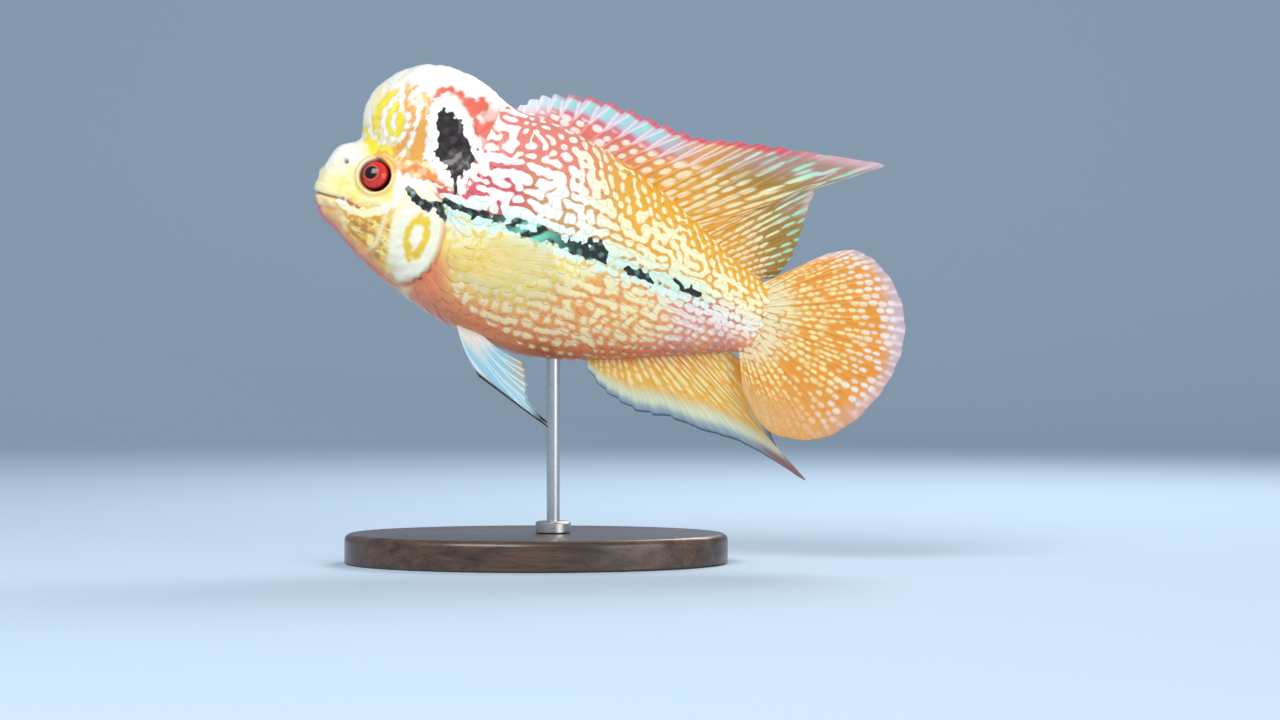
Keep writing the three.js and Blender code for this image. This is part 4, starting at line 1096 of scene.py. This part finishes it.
# The tail fin: a round fan of branched rays in a gold web with pale dashes and
# a lilac edge. It grows from the end of the stalk, whose scales lie on its foot.
def tail_colours(f, s, frac, cell, lift, xz):
    at = cell + frac
    tint = mix(lin(0.96, 0.74, 0.36), lin(0.96, 0.65, 0.22), smooth(0.15, 0.4, s))
    lower = smooth(0.62, 0.95, f) * smooth(0.35, 0.75, s)
    tint = mix(tint, lin(0.93, 0.74, 0.46), lower)
    edge_zone = smooth(0.84, 0.985, s + 0.03 * np.sin(20 * f)) * smooth(0.85, 0.5, f)
    tint = mix(tint, lin(0.85, 0.78, 0.82), 0.9 * edge_zone)
    inner = spots(2 * at, s, 15, 61, 0.42, 0.34, 0.85) * smooth(0.5, 0.42, s)
    outer = spots(3 * at, s, 15, 62, 0.44, 0.32, 0.82) * smooth(0.42, 0.5, s) * smooth(1.0, 0.9, s)
    faint = 1 - 0.85 * smooth(0.64, 0.84, f) * smooth(0.45, 0.7, s)
    dashes = np.maximum(inner, outer) * faint * smooth(0.12, 0.2, s)
    tint = mix(tint, mix(lin(1.0, 0.96, 0.68), lin(0.99, 0.97, 0.95), smooth(0.6, 0.85, s)), dashes)
    # The stalk's own ground and pearls run out over the fin's foot
    foot = smooth(0.3, 0.14, s + 0.05 * np.sin(9 * at))
    stalk_ground = ground_colour(np.full(s.shape, 164.0), np.clip(xz[..., 1], -12, 11))
    tint = mix(tint, mix(stalk_ground, CREAM, web_pearls(xz[..., 0], xz[..., 1])), foot)
    tint = mix(tint, lin(0.9, 0.6, 0.24), 0.25 * lift * (1 - edge_zone) * smooth(0.3, 0.4, s))
    tint = mix(tint, lin(0.97, 0.93, 0.97), 0.6 * lift * edge_zone)
    clear = 1 - 0.3 * smooth(0.85, 1, s) * (1 - lift)
    return np.concatenate([tint, clear[..., None]], -1)


fin_piece(
    "tail_fin_web",
    spline((163, 10.4), (167, 6), (168.5, -0.5), (167, -7), (163, -11.6)),
    spline(
        (176, 21.2), (185, 28.8), (194.5, 32.8), (203.5, 30.3), (212, 23.4), (218, 13.5), (220, 3),
        (219.2, -6), (216.5, -15.6), (210.5, -27), (201.5, -36), (191, -39.3), (180.5, -38.2),
        (169.5, -28.2),
    ),
    rays=16, rows=90, per_ray=20,
    side=lambda x, z, f, s: sway(x) + 1.3 * np.sin(5 * f + 0.6) * s * s,
    thick=4.6, thin=0.45, ridge=0.36, notch=lambda f: 0.5 + 0 * f,
    colours=tail_colours, replaced="tail_fin",
)


# The pelvic fins: a spine and five rays each in a clear bluish web, drawn out
# into a dark thread. They hang from the breast side by side.
def pelvic_colours(f, s, frac, cell, lift, xz):
    tint = mix(lin(0.97, 0.93, 0.88), lin(0.72, 0.9, 0.95), smooth(0.1, 0.5, s))
    tint = mix(tint, lin(0.8, 0.78, 0.72), smooth(0.55, 0.95, s) * smooth(0.3, 0.9, f))
    tint = mix(tint, lin(1, 1, 1), 0.85 * lift)
    tip = smooth(0.82, 0.93, s) * smooth(0.34, 0.24, f)
    tint = mix(tint, lin(0.12, 0.1, 0.1), tip)
    clear = 0.92 - 0.4 * smooth(0.1, 0.6, s) * (1 - lift)
    return np.concatenate([tint, np.maximum(clear, tip)[..., None]], -1)


for mirror, side_name in ((1, "left"), (-1, "right")):
    fin_piece(
        "pelvic_fin_web_" + side_name,
        spline((62, -31.5), (65, -32.4), (69, -33.4), (73, -34)),
        spline((76, -48.8), (104.6, -59.4), (95.6, -53.4), (93.6, -48.4), (91.6, -43.4), (89.6, -39.4)),
        rays=6, rows=44, bow=-0.05, mirror=mirror,
        side=lambda x, z, f, s: -5 - 0.26 * (-32 - z),
        thick=2.0, thin=0.45, ridge=0.35, notch=lambda f: 0.8 + 0 * f,
        colours=pelvic_colours, replaced="pelvic_fin_" + side_name,
    )


# The pectoral fins: soft rounded paddles of twelve rays in a web as clear as
# glass, rooted low behind each gill cover and held against the flank.
def pectoral_colours(f, s, frac, cell, lift, xz):
    tint = mix(lin(0.99, 0.92, 0.66), lin(1.0, 0.97, 0.84), smooth(0.1, 0.6, s))
    tint = mix(tint, lin(1, 0.97, 0.86), 0.7 * lift)
    clear = 0.42 - 0.37 * smooth(0.05, 0.3, s) + 0.09 * lift
    return np.concatenate([tint, np.clip(clear, 0, 1)[..., None]], -1)


for mirror, side_name in ((1, "left"), (-1, "right")):
    fin_piece(
        "pectoral_fin_web_" + side_name,
        spline((52, -5.4), (52.6, -8), (53.4, -10.6), (54.6, -13)),
        spline(
            (74, 3.6), (83, 4.2), (89.5, 1.6), (92, -2.6), (90, -7.4), (84.5, -11.8), (77, -15),
            (69.5, -16.8),
        ),
        rays=12, rows=36, mirror=mirror,
        side=lambda x, z, f, s: -(flank(54, -9) - 1.6) - 0.2 * (x - 52),
        thick=1.6, thin=0.4, ridge=0.25, notch=lambda f: 0.5 + 0 * f,
        colours=pectoral_colours, replaced="pectoral_fin_" + side_name,
    )

# The eyes: a ball of clear jelly in a ring of skin, with a crimson iris round a
# black pupil that sits a little forward, under a bulging wet cornea.
EYE_R, EYE_DEEP, EYE_PROUD = 5.6, 4.4, 1.4
lean = math.atan(float(flank(EYE[0] + EYE_R, EYE[1]) - flank(EYE[0] - EYE_R, EYE[1])) / (2 * EYE_R))
tilt = math.atan(float(flank(EYE[0], EYE[1] + EYE_R) - flank(EYE[0], EYE[1] - EYE_R)) / (2 * EYE_R))


def laid(p, mirror):
    """Turns points that face out along +y to lie on one flank at the eye."""
    a, b = mirror * lean, -mirror * tilt
    x, y, z = p[..., 0], mirror * p[..., 1], p[..., 2]
    x, y = x * math.cos(a) - y * math.sin(a), x * math.sin(a) + y * math.cos(a)
    y, z = y * math.cos(b) - z * math.sin(b), y * math.sin(b) + z * math.cos(b)
    out_by = float(flank(EYE[0], EYE[1])) + EYE_PROUD - EYE_DEEP
    return np.stack([x + EYE[0], y + mirror * out_by, z + EYE[1]], -1)


rows_e, cols_e = 64, 96
polar = np.linspace(0.004, math.pi - 0.02, rows_e)[:, None]
round_e = 2 * np.pi * np.arange(cols_e)[None] / cols_e
from_pole = np.sin(polar) + 0 * round_e
ball_y = EYE_DEEP * np.cos(polar) + 0 * round_e
ball = np.stack([EYE_R * from_pole * np.cos(round_e), ball_y, EYE_R * from_pole * np.sin(round_e)], -1)
px, pz = ball[..., 0] + 0.7, ball[..., 2]
from_pupil = np.hypot(px, pz)
streaks = 0.5 + 0.5 * np.sin(46 * round_e + 3 * np.sin(5 * round_e))
lighter = smooth(2.4, 4.6, from_pupil) * (0.6 + 0.4 * streaks)
eye_tint = mix(lin(0.72, 0.06, 0.08), lin(0.9, 0.2, 0.2), lighter)
eye_tint = mix(eye_tint, lin(0.3, 0.02, 0.03), np.exp(-(((from_pupil - 2.25) / 0.35) ** 2)))
eye_tint = mix(eye_tint, lin(0.98, 0.55, 0.4), 0.5 * np.exp(-(((from_pupil - 2.8) / 0.25) ** 2)))
eye_tint = mix(eye_tint, lin(0.2, 0.03, 0.03), smooth(4.7, 5.3, np.hypot(ball[..., 0], pz)))
eye_tint = mix(eye_tint, lin(0.01, 0.01, 0.012), smooth(2.3, 2.1, from_pupil))
front_shade = 0.7 * smooth(-1.5, -4.5, ball[..., 0]) * smooth(2.5, 3, from_pupil)
eye_tint = mix(eye_tint, lin(0.3, 0.1, 0.07), front_shade)
ids = np.arange(rows_e * cols_e).reshape(rows_e, cols_e)
right_of = np.roll(ids, -1, axis=1)
eye_faces = np.stack([ids[:-1], ids[1:], right_of[1:], right_of[:-1]], -1).reshape(-1, 4).tolist()
eye_faces += [tuple(ids[0][::-1]), tuple(ids[-1])]
eye_material = painted_material("eye", roughness=0.2, bump=0.0, bump_scale=2500, wet=0.6, glow=0.0)
eye_material.node_tree.nodes["Principled BSDF"].inputs["Specular IOR Level"].default_value = 0.25
eye_material.node_tree.nodes["Principled BSDF"].inputs["Coat Roughness"].default_value = 0.02
for mirror, side_name in ((-1, "left"), (1, "right")):
    eye_points = posed(laid(ball, mirror).reshape(-1, 3))
    eyeball = mesh_piece("eyeball_" + side_name, eye_points, eye_faces, eye_material)
    paint(eyeball, "markings", eye_tint.reshape(-1, 3))
    face_out(eyeball)
    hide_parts("eye_" + side_name)
    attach(eyeball, "root")

# The stand's base: an oval plate of dark walnut with a turned edge and satin
# varnish, which lies flat on the shelf and carries the rod near its middle.
walnut = bpy.data.materials.new("walnut")
walnut.use_nodes = True
nodes, links = walnut.node_tree.nodes, walnut.node_tree.links
shader = nodes["Principled BSDF"]
coords = nodes.new("ShaderNodeTexCoord")
stretch = nodes.new("ShaderNodeMapping")
stretch.inputs["Scale"].default_value = (1.0, 9.0, 9.0)
bands = nodes.new("ShaderNodeTexNoise")
bands.inputs["Scale"].default_value = 22
bands.inputs["Detail"].default_value = 6
bands.inputs["Distortion"].default_value = 0.6
pores = nodes.new("ShaderNodeTexNoise")
pores.inputs["Scale"].default_value = 150
pores.inputs["Detail"].default_value = 3
grain_ramp = nodes.new("ShaderNodeValToRGB")
grain_ramp.color_ramp.elements[0].position = 0.3
grain_ramp.color_ramp.elements[0].color = (0.03, 0.014, 0.008, 1)
grain_ramp.color_ramp.elements[1].position = 0.7
grain_ramp.color_ramp.elements[1].color = (0.13, 0.065, 0.035, 1)
pore_ramp = nodes.new("ShaderNodeMapRange")
pore_ramp.inputs["From Min"].default_value = 0.35
pore_ramp.inputs["From Max"].default_value = 0.5
pore_ramp.inputs["To Min"].default_value = 0.55
darken = nodes.new("ShaderNodeHueSaturation")
links.new(coords.outputs["Object"], stretch.inputs["Vector"])
links.new(stretch.outputs["Vector"], bands.inputs["Vector"])
links.new(stretch.outputs["Vector"], pores.inputs["Vector"])
links.new(bands.outputs["Fac"], grain_ramp.inputs["Fac"])
links.new(pores.outputs["Fac"], pore_ramp.inputs["Value"])
links.new(pore_ramp.outputs["Result"], darken.inputs["Value"])
links.new(grain_ramp.outputs["Color"], darken.inputs["Color"])
links.new(darken.outputs["Color"], shader.inputs["Base Color"])
shader.inputs["Roughness"].default_value = 0.38
shader.inputs["Coat Weight"].default_value = 0.4
shader.inputs["Coat Roughness"].default_value = 0.15
wood_bump = nodes.new("ShaderNodeBump")
wood_bump.inputs["Strength"].default_value = 0.25
wood_bump.inputs["Distance"].default_value = 0.0002
links.new(pores.outputs["Fac"], wood_bump.inputs["Height"])
links.new(wood_bump.outputs["Normal"], shader.inputs["Normal"])


def turned(name, profile, material, stretch_y=1.0, centre=(0.0, 0.0), sides=160):
    """A closed shape of (radius, height) rings in mm, round or oval."""
    a = 2 * np.pi * np.arange(sides) / sides
    first = profile[0][0]
    rings_at = []
    for r, h in profile:
        ring_x = centre[0] + r * np.cos(a)
        ring_y = centre[1] + (r - first) * np.sin(a) + first * stretch_y * np.sin(a)
        rings_at.append(np.stack([ring_x, ring_y, np.full(sides, h)], -1))
    pts = np.concatenate(rings_at) / 1000
    ids = np.arange(len(pts)).reshape(len(profile), sides)
    nxt = np.roll(ids, -1, axis=1)
    quads = np.stack([ids[:-1], nxt[:-1], nxt[1:], ids[1:]], -1).reshape(-1, 4).tolist()
    quads += [tuple(ids[0][::-1]), tuple(ids[-1])]
    piece = mesh_piece(name, pts, quads, material)
    piece.data.set_sharp_from_angle(angle=math.radians(32))
    return piece


# Half its length, half its depth, its height, the bevel of its foot and the
# radius of its upper edge, in mm
BASE_R, BASE_HALF_DEEP, BASE_HIGH, BASE_FOOT, EDGE_R = 70, 46, 11, 0.8, 2.5
edge_turn = [
    (BASE_R - EDGE_R * (1 - math.cos(t)), BASE_HIGH - EDGE_R + EDGE_R * math.sin(t))
    for t in np.linspace(0, math.pi / 2, 8)
]
foot_r = BASE_R - BASE_FOOT
oval_share = (BASE_HALF_DEEP - BASE_FOOT) / foot_r
base = turned("walnut_base", [(foot_r, 0), (BASE_R, BASE_FOOT), *edge_turn], walnut, oval_share)
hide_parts("stand_base")
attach(base, "root")

# The rod and its collar: brushed steel. The rod stands on the base and runs
# up into the belly, and the collar sits round its foot.
steel = simple_material("brushed_steel", (0.56, 0.57, 0.59), 0.3, 1.0)
nodes, links = steel.node_tree.nodes, steel.node_tree.links
shader = nodes["Principled BSDF"]
coords = nodes.new("ShaderNodeTexCoord")
stretch = nodes.new("ShaderNodeMapping")
stretch.inputs["Scale"].default_value = (1.0, 1.0, 40.0)
brush = nodes.new("ShaderNodeTexNoise")
brush.inputs["Scale"].default_value = 120
brush_rough = nodes.new("ShaderNodeMapRange")
brush_rough.inputs["To Min"].default_value = 0.2
brush_rough.inputs["To Max"].default_value = 0.42
links.new(coords.outputs["Object"], stretch.inputs["Vector"])
links.new(stretch.outputs["Vector"], brush.inputs["Vector"])
links.new(brush.outputs["Fac"], brush_rough.inputs["Value"])
links.new(brush_rough.outputs["Result"], shader.inputs["Roughness"])
brush_bump = nodes.new("ShaderNodeBump")
brush_bump.inputs["Strength"].default_value = 0.1
brush_bump.inputs["Distance"].default_value = 0.0001
links.new(brush.outputs["Fac"], brush_bump.inputs["Height"])
links.new(brush_bump.outputs["Normal"], shader.inputs["Normal"])
ROD_X, ROD_R = 6.2, 2.4
rod_low, rod_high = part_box("stand_rod")
rod_profile = [(ROD_R, rod_low[2] * 1000), (ROD_R, rod_high[2] * 1000)]
rod = turned("steel_rod", rod_profile, steel, centre=(ROD_X, 0), sides=48)
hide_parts("stand_rod")
COLLAR = [(6.2, 11.2), (6.5, 11.5), (6.5, 14.7), (6.2, 15.1), (5.6, 15.35), (2.5, 15.35)]
collar = turned("steel_collar", COLLAR, steel, centre=(ROD_X, 0), sides=96)
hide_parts("stand_collar")
for piece in (rod, collar):
    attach(piece, "root")
